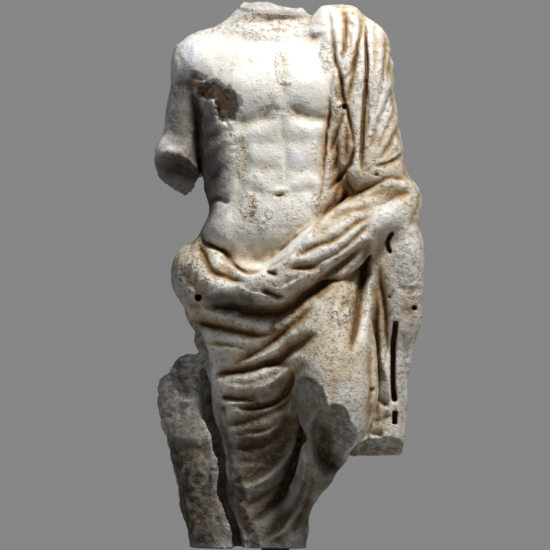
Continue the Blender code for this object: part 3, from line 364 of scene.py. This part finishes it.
def upright(grid, rows, power=2.0):
    # about the distance from a super-ellipse whose centre and half widths follow the height: k0 * (k0 - 1)
    # divided by k1, with k0 the scaled distance from its middle and k1 how steeply that grows
    x, y, z = grid
    cx, cy, rx, rf, rb = (v[None, None, :].astype(np.float32) for v in smoothRows(rows, z[0, 0, :]))
    ry = np.where(y < cy, rf, rb)
    dx, dy = (x - cx) / rx, (y - cy) / ry
    k0 = (np.abs(dx) ** power + np.abs(dy) ** power) ** (1 / power) + tiny
    k1 = np.sqrt((dx / rx) ** 2 + (dy / ry) ** 2) + tiny
    low, high = min(r[0] for r in rows), max(r[0] for r in rows)
    return keepBoth(keepBoth(k0 * (k0 - 1) / k1, z - high, 1.0), low - z, 0.6)


def egg(grid, centre, radii):
    # about the distance from an ellipsoid, worked out as for the super-ellipse
    parts = [(v - c) / r for v, c, r in zip(grid, centre, radii)]
    k0 = np.sqrt(sum(p * p for p in parts)) + tiny
    k1 = np.sqrt(sum((p / r) ** 2 for p, r in zip(parts, radii))) + tiny
    return k0 * (k0 - 1) / k1


def limb(grid, points, k=1.2):
    # tapered rounds joined end to end: distance to the nearest place of each run, less its radius there
    x, y, z = grid
    line = smoothLine(points, 2)
    out = None
    for a, b in zip(line[:-1], line[1:]):
        axis = b[:3] - a[:3]
        t = ((x - a[0]) * axis[0] + (y - a[1]) * axis[1] + (z - a[2]) * axis[2]) / (axis @ axis)
        t = np.clip(t, 0, 1).astype(np.float32)
        d = np.sqrt((x - a[0] - t * axis[0]) ** 2 + (y - a[1] - t * axis[1]) ** 2
                    + (z - a[2] - t * axis[2]) ** 2) - (a[3] + t * (b[3] - a[3]))
        out = d if out is None else melt(out, d, k)
    return out


def plane(grid, point, normal):
    # how far each place lies in front of a plane
    n = np.array(normal, float) / np.linalg.norm(normal)
    return sum((v - p) * m for v, p, m in zip(grid, point, n))


def along(mu, mv, points, reach):
    # distance from each place of the map to a line, on which side it lies, and how far along
    line = smoothLine(points)
    lo, hi = line.min(0) - reach, line.max(0) + reach
    place = tuple(slice(*np.searchsorted(m, ends)) for m, ends in zip((mu, mv), zip(lo, hi)))
    u, v = mu[place[0]][:, None], mv[place[1]][None, :]
    best = np.full((u.shape[0], v.shape[1]), 1e9)
    side, share = np.zeros_like(best), np.zeros_like(best)
    lengths = np.r_[0, np.cumsum(np.hypot(*np.diff(line, axis=0).T))]
    for a, b, start, end in zip(line[:-1], line[1:], lengths[:-1], lengths[1:]):
        du, dv = b - a
        t = np.clip(((u - a[0]) * du + (v - a[1]) * dv) / (du * du + dv * dv), 0, 1)
        eu, ev = u - a[0] - t * du, v - a[1] - t * dv
        d = eu * eu + ev * ev
        near = d < best
        best = np.where(near, d, best)
        side = np.where(near, np.sign(du * ev - dv * eu), side)
        share = np.where(near, (start + t * (end - start)) / lengths[-1], share)
    return place, np.sqrt(best), side, share


def faded(share, fade):
    # one along the middle of a line, falling to nought over a share of it at either end
    return np.clip(np.minimum(share, 1 - share) / fade, 0, 1)


def carve(mu, mv, valleys, spread=2.3, fade=0.3):
    # cloth bulges between its valleys: each sinks by depth times exp(-(distance / run) ^ 1.15), where the run
    # is longer on the side that a lean gives. A drilled one has a channel too, exp(-(distance / bore) ^ 2)
    total, blend = np.zeros((len(mu), len(mv))), 2.2
    for depth, width, points, *more in valleys:
        lean, drilled = (*more, 0, 0)[:2]
        place, d, side, share = along(mu, mv, points, width * 11)
        ends = faded(share, fade)
        ends = ends * (2 - ends)
        run = spread * width * (0.45 + 0.55 * ends) * (1 + 0.6 * lean * side)
        soft = np.sqrt(d * d + 0.01) - 0.1
        deep = depth * np.exp(-(soft / run) ** 1.15) + drilled * np.exp(-(d / (0.8 * width)) ** 2)
        total[place] += (ends * deep) ** blend
    return -total ** (1 / blend)


def crease(mu, mv, valleys):
    # soft hollows in flesh: depth times exp(-(distance / width) ^ 2)
    total, blend = np.zeros((len(mu), len(mv))), 3
    for depth, width, points in valleys:
        place, d, _, share = along(mu, mv, points, width * 4)
        total[place] += (depth * faded(share, 0.25) * np.exp(-(d / width) ** 2)) ** blend
    return -total ** (1 / blend)


def layOver(mu, mv, steps):
    # a step on one side of a line, which runs back to nothing
    total = np.zeros((len(mu), len(mv)))
    for height, soft, reach, turn, points in steps:
        place, d, side, share = along(mu, mv, points, reach * 3)
        d = d * side * turn
        rise = height * faded(share, 0.1) * np.clip(d / soft + 0.5, 0, 1)
        total[place] += rise * np.exp(-np.clip(d, 0, None) / reach)
    return total


def raiseLips(mu, mv, lines):
    # thin crests: height times exp(-(distance / width) ^ 2)
    total = np.zeros((len(mu), len(mv)))
    for height, width, points in lines:
        place, d, _, share = along(mu, mv, points, width * 4)
        total[place] += height * faded(share, 0.25) * np.exp(-(d / width) ** 2)
    return total


def swell(mu, mv, bumps):
    # round swellings and pits: height times exp(-(scaled distance) ^ 2.6)
    total = np.zeros((len(mu), len(mv)))
    for height, cu, cv, ru, rv in bumps:
        squared = ((mu[:, None] - cu) / ru) ** 2 + ((mv[None, :] - cv) / rv) ** 2
        total += height * np.exp(-squared ** 1.3)
    return total


def bruise(mu, mv, marks):
    # hollows with steep ragged rims and rough floors
    total = np.zeros((len(mu), len(mv)))
    ragged = sum(share * lattice(total.shape, cell, seed) for cell, share, seed in marble["ragged"])
    for depth, cu, cv, ru, rv, raggedness in marks:
        far = np.hypot((mu[:, None] - cu) / ru, (mv[None, :] - cv) / rv) + raggedness * 0.5 * ragged
        inside = np.clip((1.15 - far) / 0.55, 0, 1)
        inside = inside * inside * (3 - 2 * inside)
        total = np.maximum(total, depth * inside * (1 + raggedness * 0.7 * ragged))
    return -total


def channels(mu, mv, lines):
    # slots with steep walls and flat floors: depth times exp(-(distance / width) ^ 4)
    total = np.zeros((len(mu), len(mv)))
    for depth, width, points in lines:
        place, d, _, share = along(mu, mv, points, width * 3)
        deep = depth * faded(share, 0.05) * np.exp(-(d / width) ** 4)
        total[place] = np.maximum(total[place], deep)
    return total


def warped(relief, size, seed):
    # the map read at places shifted by soft noise, as a hand with a chisel would wander
    places = []
    for axis, n in enumerate(relief.shape):
        shift = lattice(relief.shape, 16, seed + axis) + 0.35 * lattice(relief.shape, 5, seed + 10 + axis)
        index = np.arange(n).reshape([-1 if axis == a else 1 for a in range(2)])
        places.append(np.clip(index + size * shift, 0, n - 1.001))
    i, j = (p.astype(int) for p in places)
    f, g = places[0] - i, places[1] - j
    return ((relief[i, j] * (1 - f) + relief[i + 1, j] * f) * (1 - g)
            + (relief[i, j + 1] * (1 - f) + relief[i + 1, j + 1] * f) * g)


def frontMap(mx, mz):
    # how far the front's skin is raised, over x and z
    relief = (carve(mx, mz, shoulderValleys, 1.7) + carve(mx, mz, rollValleys + thighValleys + hangingValleys)
              + crease(mx, mz, fleshValleys) + layOver(mx, mz, clothSteps) + raiseLips(mx, mz, crests)
              + swell(mx, mz, swellings))
    return warped(relief, 1.2, 31) + bruise(mx, mz, bruises) - channels(mx, mz, slots)


def backMap(mx, mz):
    # a sash of folds fans from the left shoulder to the right hip, and the skirt hangs from it in long folds
    valleys = [spine, shoulderBlade]
    for t in np.linspace(0, 1, backFolds["sash"]):
        valleys.append((1.3, 0.8, [(10 + 11 * t, 96 - 4 * t), (6 + 11 * t, 80 - 5 * t),
                                   (-1 + 12 * t, 68 - 9 * t), (-9 + 10 * t, 60 - 12 * t),
                                   (-18 + 7 * t, 55 - 14 * t)]))
    for t in np.linspace(0, 1, backFolds["hanging"]):
        valleys.append((1.1, 0.9, [(-12 + 25 * t, 38 + 14 * t), (-10 + 22 * t, 27), (-7 + 14 * t, 13),
                                   (-5 + 8 * t, 0)]))
    return warped(carve(mx, mz, valleys) + layOver(mx, mz, [(1.0, 0.8, 5.0, -1, sashEdge)]), 2.0, 41)


def leftSideMap(my, mz):
    # folds slant down to the front over the shoulder and arm, and hang straight below
    slant = [(1.2, 0.8, [(6, 95 - 6 * i), (0, 89 - 6 * i), (-7, 85 - 6 * i)])
             for i in range(backFolds["side"])]
    straight = [(1.2, 0.7, [(y, 56), (y + 0.8, 40), (y, 20)]) for y in (-2.2, 0.4, 2.8)]
    return warped(carve(my, mz, slant + straight), 2.0, 51)


def rightSideMap(my, mz):
    # folds drawn up to the back, from the knee to the hip
    folds = [(1.2, 0.8, [(-9, 42 - 4.5 * i), (0, 44 - 4.5 * i), (8, 48 - 4.5 * i)])
             for i in range(backFolds["side"])]
    return warped(carve(my, mz, folds), 2.0, 61)


def lattice(shape, cell, seed):
    # soft noise between -1 and 1 whose lumps are about one cell wide
    values = np.random.default_rng(seed).uniform(-1, 1, [int(np.ceil(n / cell)) + 2 for n in shape])
    values = values.astype(np.float32)
    for axis, n in enumerate(shape):
        t = np.arange(n, dtype=np.float32) / cell
        i = t.astype(int)
        f = t - i
        f = (f * f * (3 - 2 * f)).reshape([-1 if a == axis else 1 for a in range(len(shape))])
        values = np.take(values, i, axis) * (1 - f) + np.take(values, i + 1, axis) * f
    return values


def body(grid):
    # the round forms melted together, flesh first, by fillets of the widths given
    chest = upright(grid, torso, 2.5)
    chest = melt(chest, egg(grid, *shoulder), 3.0)
    chest = melt(chest, limb(grid, neck), 2.5)
    chest = melt(chest, limb(grid, trapezius), 3.0)
    chest = melt(chest, upright(grid, rightArm), 0.8)
    chest = melt(chest, limb(grid, armWeb), 0.8)
    cloth = melt(upright(grid, skirt, 2.3), limb(grid, thigh, 3.0), 4.0)
    cloth = melt(cloth, limb(grid, shin), 1.2)
    cloth = melt(cloth, upright(grid, shoulderCloth, 2.5), 1.6)
    cloth = melt(cloth, limb(grid, waistRoll, 2.5), 1.6)
    cloth = melt(cloth, limb(grid, strutWeb, 2.5), 1.6)
    x, y, z = grid
    lean, about = strutTurn
    turned = (x, y + lean * (x - about), z)
    return melt(melt(chest, cloth, 0.7), upright(turned, strut, 3.0), 0.8)


def brokenFaces(grid, whole, step):
    # returns the broken field and how broken each place is. Stone breaks in facets, so its roughness is soft
    # noise folded at nought, in two sizes, over a finer grain. The strut was hewn, so its whole skin is rough
    def noise(cell, seed):
        return lattice(whole.shape, cell / step, seed)

    rough = (1.1 * np.abs(noise(6.3, 1) + 0.7 * noise(3.7, 4))
             + 0.5 * np.abs(noise(2.3, 2) + 0.7 * noise(1.3, 5)) + 0.2 * noise(0.9, 3))
    broken = np.zeros_like(whole)
    for place, facing, roughness, centre, radii, share in breaks:
        cut = np.minimum(plane(grid, place, facing) + roughness * rough, -egg(grid, centre, radii))
        broken = np.maximum(broken, share * np.clip(1 + cut / 0.6, 0, 1))
        whole = keepBoth(whole, cut, 0.2)
    strutSkin = np.clip(np.minimum(-plane(grid, *strutFace), strutTop - grid[2]), 0, 1)
    hewn = 0.6 * rough + 0.35 * np.abs(noise(1.1, 7)) - 0.35
    return whole + strutSkin * hewn, np.maximum(broken, 0.8 * strutSkin)


def finer(field):
    # a field at half the step: the places between are the means of their neighbours
    for axis in range(3):
        field = np.moveaxis(field, axis, 0)
        out = np.empty((2 * len(field) - 1, *field.shape[1:]), np.float32)
        out[::2] = field
        out[1::2] = (field[:-1] + field[1:]) / 2
        field = np.moveaxis(out, 0, axis)
    return field


def blurred(field, radius):
    # the mean over a box, one axis at a time by running sums
    width = 2 * radius + 1
    for axis in range(3):
        pads = [(radius + 1, radius) if a == axis else (0, 0) for a in range(3)]
        sums = np.cumsum(np.pad(field, pads, mode="edge"), axis=axis, dtype=np.float64)
        low = [slice(0, -width) if a == axis else slice(None) for a in range(3)]
        high = [slice(width, None) if a == axis else slice(None) for a in range(3)]
        field = ((sums[tuple(high)] - sums[tuple(low)]) / width).astype(np.float32)
    return field


def readAt(field, places, origin, step):
    # the field at scattered places, by the eight corners around each
    t = np.clip((places - origin) / step, 0, np.array(field.shape) - 1.001)
    i = t.astype(int)
    f = t - i
    total = 0
    for a in (0, 1):
        for b in (0, 1):
            for c in (0, 1):
                share = (np.abs(1 - a - f[:, 0]) * np.abs(1 - b - f[:, 1]) * np.abs(1 - c - f[:, 2]))
                total = total + share * field[i[:, 0] + a, i[:, 1] + b, i[:, 2] + c]
    return total


def marbleFields():
    # the round forms are worked out on a coarse grid, then carved on one twice as fine. Each map weighs as
    # much as the skin faces its side
    coarse = marble["step"] * 2
    x, y, z = (np.arange(a, b, coarse, dtype=np.float32) for a, b in marble["extent"])
    grid = (x[:, None, None], y[None, :, None], z[None, None, :])
    whole = body(grid).astype(np.float32)
    across, away = (np.gradient(whole, axis=a) / coarse for a in (0, 1))
    length = np.hypot(across, away) + tiny
    start, span, lean = marble["facing"]
    ahead, behind, left, right = (np.clip((s / length - start) / span, 0, 1)
                                  for s in (-away, away, across - lean * length, -across - lean * length))
    fx, fy, fz = (np.linspace(v[0], v[-1], 2 * len(v) - 1) for v in (x, y, z))
    print("marble: round forms", whole.shape)
    whole = finer(whole)
    for weight, relief in ((ahead, frontMap(fx, fz)[:, None, :]), (behind, backMap(fx, fz)[:, None, :]),
                           ((1 - ahead) * left, leftSideMap(fy, fz)[None]),
                           ((1 - ahead) * right, rightSideMap(fy, fz)[None])):
        whole -= finer(weight) * relief.astype(np.float32)
    print("marble: carving", whole.shape)
    half = whole[::2, ::2, ::2]
    chipped, broken = brokenFaces(grid, half, coarse)
    whole = whole + finer(chipped - half)
    for size, cell, seed in marble["wear"]:
        whole += size * lattice(whole.shape, cell / marble["step"], seed)
    whole = np.maximum(whole, -fz[None, None, :].astype(np.float32))
    reach = ((postHigh[0] - postLow[0]) / 2 + marble["socketRoom"]) / module
    depth = (postHigh[2] - marbleBottom + marble["socketRoom"]) / module
    socket = np.maximum(np.maximum(np.abs(fx)[:, None, None], np.abs(fy)[None, :, None]) - reach,
                        fz[None, None, :] - depth)
    whole = np.maximum(whole, -socket.astype(np.float32))
    return whole, broken, np.array([x[0], y[0], z[0]])


def meshFrom(name, verts, faces):
    # a mesh whose faces all have as many corners as the rows of faces have numbers
    mesh = bpy.data.meshes.new(name)
    mesh.vertices.add(len(verts))
    mesh.vertices.foreach_set("co", np.ascontiguousarray(verts, np.float32).ravel())
    mesh.loops.add(faces.size)
    mesh.loops.foreach_set("vertex_index", faces.astype(np.int32).ravel())
    mesh.polygons.add(len(faces))
    mesh.polygons.foreach_set("loop_start", np.arange(0, faces.size, faces.shape[1], dtype=np.int32))
    mesh.update(calc_edges=True)
    mesh.validate()
    return mesh


def largestPart(verts, faces):
    # each place takes the lowest number met through its faces, until nothing changes
    label = np.arange(len(verts))
    while True:
        lowest = label[faces].min(1)
        new = label.copy()
        np.minimum.at(new, faces.ravel(), np.repeat(lowest, faces.shape[1]))
        new = new[new]
        if (new == label).all():
            break
        label = new
    names, counts = np.unique(label, return_counts=True)
    keep = label == names[counts.argmax()]
    number = np.cumsum(keep) - 1
    return verts[keep], number[faces[keep[faces].all(1)]]


def addAttribute(mesh, name, values):
    layer = mesh.attributes.new(name, "FLOAT", "POINT")
    layer.data.foreach_set("value", np.ascontiguousarray(values, np.float32))


def clothShare(places):
    # one on cloth, nought on flesh: the front's cloth edges, and the sash's edge behind
    x, y, z = places.T
    hem = np.interp(x, *np.array(clothEdge).T)
    drape = np.interp(z, *np.array(sorted((v, u) for u, v in drapeEdge)).T)
    sash = np.interp(x, *np.array(sashEdge).T)
    front = np.maximum(hem - z, x - drape)
    back = sash - z
    return np.clip(0.5 + np.where(y < 1, front, back) / 1.5, 0, 1)


def stainShare(places, marks):
    # one in the middle of a mark, nought outside it, on the front only
    x, y, z = places.T
    share = np.zeros(len(places))
    for cx, cz, rx, rz in marks:
        share = np.maximum(share, np.clip(1.5 - np.hypot((x - cx) / rx, (z - cz) / rz), 0, 1))
    return share * np.clip((4 - y) / 4, 0, 1)


def buildMarble():
    field, broken, origin = marbleFields()
    step = marble["step"]
    grid = openvdb.FloatGrid(2.0)
    grid.copyFromArray(np.clip(field, -2, 2).astype(np.float32))
    points, quads = grid.convertToQuads(0.0)
    points, quads = largestPart(np.array(points), np.array(quads))
    print("marble: skin", len(points), "points")
    mesh = meshFrom("marbleFigure", (points * step + origin) * module + [0, 0, marbleBottom], quads)
    piece = bpy.data.objects.new("marbleFigure", mesh)
    bpy.context.scene.collection.objects.link(piece)
    thin = piece.modifiers.new("thin", "DECIMATE")
    thin.ratio = marble["triangles"] / (2 * len(mesh.polygons))
    done = bpy.data.meshes.new_from_object(piece.evaluated_get(bpy.context.evaluated_depsgraph_get()))
    piece.modifiers.clear()
    piece.data = done
    done.shade_smooth()
    places = np.empty(len(done.vertices) * 3, np.float32)
    done.vertices.foreach_get("co", places)
    places = (places.reshape(-1, 3) - [0, 0, marbleBottom]) / module
    half = field[::2, ::2, ::2]
    for name, radius in marble["hollows"].items():
        hollow = half - blurred(half, radius)
        addAttribute(done, name, readAt(hollow, places, origin, step * 2) / (radius * step))
    addAttribute(done, "broken", readAt(broken, places, origin, step * 2))
    addAttribute(done, "cloth", clothShare(places))
    for name, marks in stains.items():
        addAttribute(done, name, stainShare(places, marks))
    print("marble:", len(done.polygons), "triangles")
    return piece


class Socket:
    # a node's output that can be added, multiplied and compared as a number
    def __init__(self, tree, out):
        self.tree, self.out = tree, out

    def math(self, kind, other, turned=False):
        a, b = (other, self) if turned else (self, other)
        return self.tree.node("ShaderNodeMath", dict(operation=kind), {0: a, 1: b}).at(0)

    def __add__(self, other):
        return self.math("ADD", other)

    def __sub__(self, other):
        return self.math("SUBTRACT", other)

    def __rsub__(self, other):
        return self.math("SUBTRACT", other, True)

    def __mul__(self, other):
        return self.math("MULTIPLY", other)

    __radd__, __rmul__ = __add__, __mul__

    def clamped(self, low=0.0, high=1.0):
        return self.tree.node("ShaderNodeClamp", {}, {"Value": self, "Min": low, "Max": high}).at(0)

    def spread(self, low, high):
        # nought below low, one above high, soft between
        return self.tree.node("ShaderNodeMapRange", dict(interpolation_type="SMOOTHSTEP"),
                              {0: self, 1: low, 2: high, 3: 0.0, 4: 1.0}).at(0)


class Outputs:
    # a node's outputs, each by its name or number
    def __init__(self, tree, node):
        self.tree, self.node = tree, node

    def at(self, key):
        return Socket(self.tree, self.node.outputs[key])


class Finish:
    # a material's nodes, made one call at a time
    def __init__(self, name):
        self.material = bpy.data.materials.new(name)
        self.material.use_nodes = True
        self.nodes, self.links = self.material.node_tree.nodes, self.material.node_tree.links
        self.shader = self.nodes["Principled BSDF"]
        self.place = self.node("ShaderNodeTexCoord", {}, {}).at("Object")

    def node(self, kind, settings, ins):
        made = self.nodes.new(kind)
        for key, value in settings.items():
            setattr(made, key, value)
        for key, value in ins.items():
            self.put(made.inputs[key], value)
        return Outputs(self, made)

    def put(self, socket, value):
        if isinstance(value, Socket):
            self.links.new(value.out, socket)
        elif isinstance(value, tuple) and len(value) == 3 and socket.type == "RGBA":
            socket.default_value = (*value, 1)
        else:
            socket.default_value = value

    def noise(self, scale, detail, roughness):
        return self.node("ShaderNodeTexNoise", {}, {"Vector": self.place, "Scale": scale, "Detail": detail,
                                                    "Roughness": roughness}).at(0)

    def cells(self, scale):
        return self.node("ShaderNodeTexVoronoi", {}, {"Vector": self.place, "Scale": scale}).at(0)

    def attribute(self, name):
        return self.node("ShaderNodeAttribute", dict(attribute_name=name), {}).at("Fac")

    def mix(self, share, a, b):
        return self.node("ShaderNodeMix", dict(data_type="RGBA"), {0: share, 6: a, 7: b}).at(2)

    def bump(self, height, strength, distance):
        return self.node("ShaderNodeBump", {}, {"Height": height, "Strength": strength,
                                                "Distance": distance}).at(0)

    def finish(self, **ins):
        for key, value in ins.items():
            self.put(self.shader.inputs[key], value)
        return self.material


# The noises, such as clouds and grain, are given by lumps in a metre, detail and roughness
stone = dict(
    white=(0.83, 0.815, 0.765), cream=(0.63, 0.555, 0.43), tan=(0.42, 0.300, 0.165),
             ochre=(0.33, 0.19, 0.080),
    # soil is brown grime, and also painted crease shade where the valleys are darkened
    # soot is painted shade, laid with some grime over the places where shadow falls
    soilAndShade=(0.095, 0.054, 0.027), sootAndShade=(0.034, 0.023, 0.013), bleached=(0.70, 0.70, 0.67),
    rust=(0.40, 0.205, 0.080), brokenPale=(0.64, 0.65, 0.645), brokenDark=(0.17, 0.155, 0.130),
    crystal=(0.84, 0.88, 0.95), roughness=0.48, relief=0.0026, holesInMetre=150.0,
    noises=dict(clouds=(9.0, 5.0, 0.6), blotches=(38.0, 6.0, 0.65), streaks=(110.0, 5.0, 0.72),
                grain=(420.0, 2.0, 0.5), specks=(150.0, 3.0, 0.62)))


def stoneFinish():
    # white stone under layers of colour, each laid over those before by its own share of one
    m = Finish("weatheredMarble")
    narrow, wide, broken, cloth = (m.attribute(n) for n in ("narrowValley", "wideValley", "broken", "cloth"))
    clouds, blotches, streaks, grain, specks = (m.noise(*n) for n in stone["noises"].values())
    uneven = (blotches - 0.5) * 1.1 + (streaks - 0.5) * 0.9
    bruised, pitted, fresh, bleached, rusty, grimeAndPaintedShade = (m.attribute(n) + uneven * 0.9 for n in stains)
    hurt = bruised.spread(0.45, 0.75)
    age = wide * 1.7 + narrow * (cloth * 0.8 + 0.15) + (clouds - 0.5) * 1.2 + uneven * 0.8
    # brown grime and painted crease shade: narrow and wide valleys darkened towards the soil colour
    creaseGrimeAndShade = (narrow * (cloth + 0.5) + wide * 1.3 + uneven * 0.8).spread(0.55, 1.7)
    chips = m.mix((streaks + (blotches - 0.5) * 0.8).spread(0.40, 0.62), stone["brokenDark"],
                  stone["brokenPale"])
    # painted shade with some grime: soot-dark over the marks where shadow falls, a little more in hollows and
    # less on crests
    grimeAndShadeShare = grimeAndPaintedShade.spread(0.05, 1.0) * (0.9 + narrow * 0.25 + wide * 0.2)
    cells = 1 - m.cells(stone["holesInMetre"]).spread(0.05, 0.26)
    holes = cells * (clouds + blotches * 0.6 + cloth * 0.2 + pitted.spread(0.2, 0.9) * 0.4).spread(0.82, 1.2)
    freckles = specks.spread(0.52, 0.64) * ((clouds + uneven * 0.5 + cloth * 0.28).spread(0.5, 0.75) * 0.9
                                           + pitted.spread(0.25, 0.9))
    layers = (
        ((age + cloth * 1.1).spread(-0.15, 0.75), stone["cream"]),
        ((age + cloth).spread(0.55, 1.35), stone["tan"]),
        ((age + cloth * 0.55 + (blotches - 0.5) * 1.2).spread(0.75, 1.7), stone["ochre"]),
        (bleached.spread(0.25, 0.85) * 0.8, stone["bleached"]),
        (rusty.spread(0.3, 1.1) * 0.5, stone["rust"]),
        (creaseGrimeAndShade * 0.85, stone["soilAndShade"]),
        (broken * 0.85, chips),
        (grimeAndShadeShare.clamped(0.0, 0.95), stone["sootAndShade"]),
        (hurt * 0.75, stone["ochre"]),
        (bruised.spread(0.45, 0.95) * streaks.spread(0.44, 0.62) * 0.6, stone["soilAndShade"]),
        (fresh.spread(0.42, 0.58) * 0.9, stone["crystal"]),
        ((holes * 0.5 + freckles * 0.62).clamped(), stone["ochre"]),
        (holes * specks.spread(0.5, 0.6) * 0.35, stone["soilAndShade"]))
    colour = stone["white"]
    for share, tone in layers:
        colour = m.mix(share, colour, tone)
    rough = (broken + hurt + pitted.spread(0.3, 0.9) * 0.4).clamped()
    relief = (grain * 0.30 + streaks * (cloth * 0.7 + 0.35) + blotches * 0.5 - holes * 0.5 - freckles * 0.3
              + rough * (streaks * 2.2 + specks))
    gloss = stone["roughness"] + creaseGrimeAndShade * 0.3 + rough * 0.25 + cloth * 0.08 + (grain - 0.5) * 0.2
    return m.finish(**{"Base Color": colour, "Roughness": gloss.clamped(),
                       "Normal": m.bump(relief, 1.0, stone["relief"])})


steel = dict(colour=(0.018, 0.018, 0.020), worn=(0.060, 0.058, 0.056), metallic=0.7, roughness=0.42)
coat = dict(colour=(0.016, 0.016, 0.017), worn=(0.040, 0.038, 0.036), metallic=0.0, roughness=0.55)


def darkFinish(name, metal):
    # black, clouded with a paler worn colour and finely uneven
    m = Finish(name)
    cloud, fine = m.noise(14.0, 5.0, 0.6), m.noise(900.0, 2.0, 0.5)
    colour = m.mix((cloud * 0.7 + fine * 0.3).spread(0.5, 0.8) * 0.5, metal["colour"], metal["worn"])
    return m.finish(**{"Base Color": colour, "Metallic": metal["metallic"],
                       "Roughness": (metal["roughness"] + (cloud - 0.5) * 0.25).clamped(),
                       "Normal": m.bump(fine, 0.25, 0.0004)})


def dressNode(node, finish):
    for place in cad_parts[node].material_slots:
        place.material = finish


ground = dict(radius=1.25, sides=96, colour=(0.44, 0.43, 0.42), roughness=0.8)


def buildStage():
    # a round floor under the mount
    turn = np.linspace(0, 2 * np.pi, ground["sides"], endpoint=False)
    low = np.full_like(turn, float(cadBox[0][2]))
    verts = np.stack([ground["radius"] * np.cos(turn), ground["radius"] * np.sin(turn), low], 1)
    floor = bpy.data.objects.new("floor", meshFrom("floor", verts, np.arange(ground["sides"])[None]))
    bpy.context.scene.collection.objects.link(floor)
    pale = Finish("paleFloor")
    floor.data.materials.append(pale.finish(**{"Base Color": ground["colour"],
                                               "Roughness": ground["roughness"]}))


studio = dict(
    aim=(0, 0, 0.5), seen=(0.24, 0.24, 0.24), given=(0.012, 0.0125, 0.014),
    key=dict(place=(0.66, -0.92, 2.25), size=0.35, power=53, colour=(1.0, 0.975, 0.94)),
    edge=dict(place=(-1.6, -1.0, 2.4), size=0.4, power=13, colour=(0.86, 0.92, 1.0)),
    fill=dict(place=(1.2, -4.4, 1.4), size=2.0, power=4, colour=(0.94, 0.96, 1.0)),
)


def addLight(name, place, size, power, colour):
    lamp = bpy.data.lights.new(name, "AREA")
    lamp.shape, lamp.size, lamp.energy, lamp.color = "DISK", size, power, colour
    thing = bpy.data.objects.new(name, lamp)
    thing.location = place
    thing.rotation_euler = (Vector(studio["aim"]) - Vector(place)).to_track_quat("-Z", "Y").to_euler()
    bpy.context.scene.collection.objects.link(thing)


# The distance and one pixel's size are in metres, the sensor in millimetres, and the places in the
# photograph's pixels
view = dict(distance=6.5, sensor=36.0, frameWidth=550, pixel=0.0014, centrePixel=(275, 275), postPixel=275.5,
            undersidePixel=547)


def buildCamera():
    # a long lens, level, whose frame is the photograph's: so many pixels of so many millimetres
    camera = bpy.data.cameras.new("camera")
    camera.sensor_width = view["sensor"]
    camera.lens = view["sensor"] * view["distance"] / (view["frameWidth"] * view["pixel"])
    thing = bpy.data.objects.new("camera", camera)
    across = (view["centrePixel"][0] - view["postPixel"]) * view["pixel"]
    up = marbleBottom + (view["undersidePixel"] - view["centrePixel"][1]) * view["pixel"]
    thing.location = (across, -view["distance"], up)
    thing.rotation_euler = (np.pi / 2, 0, 0)
    bpy.context.scene.collection.objects.link(thing)
    bpy.context.scene.camera = thing


def lightStudio():
    # three lamps, and a backdrop that is seen mid grey and gives less light than that
    world = bpy.data.worlds.new("studio")
    world.use_nodes = True
    nodes, links = world.node_tree.nodes, world.node_tree.links
    path, blend = nodes.new("ShaderNodeLightPath"), nodes.new("ShaderNodeMix")
    blend.data_type = "RGBA"
    blend.inputs[6].default_value = (*studio["given"], 1)
    blend.inputs[7].default_value = (*studio["seen"], 1)
    links.new(path.outputs["Is Camera Ray"], blend.inputs[0])
    links.new(blend.outputs[2], nodes["Background"].inputs[0])
    bpy.context.scene.world = world
    for name in ("key", "edge", "fill"):
        addLight(name, **studio[name])
    bpy.context.scene.view_settings.view_transform = "Standard"


buildCamera()
lightStudio()
buildStage()
figure = buildMarble()
figure.data.materials.clear()
figure.data.materials.append(stoneFinish())
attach(figure, "root")
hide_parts("marble_figure")
dressNode("mount_post", darkFinish("blackSteel", steel))
dressNode("mount_base", darkFinish("blackCoating", coat))
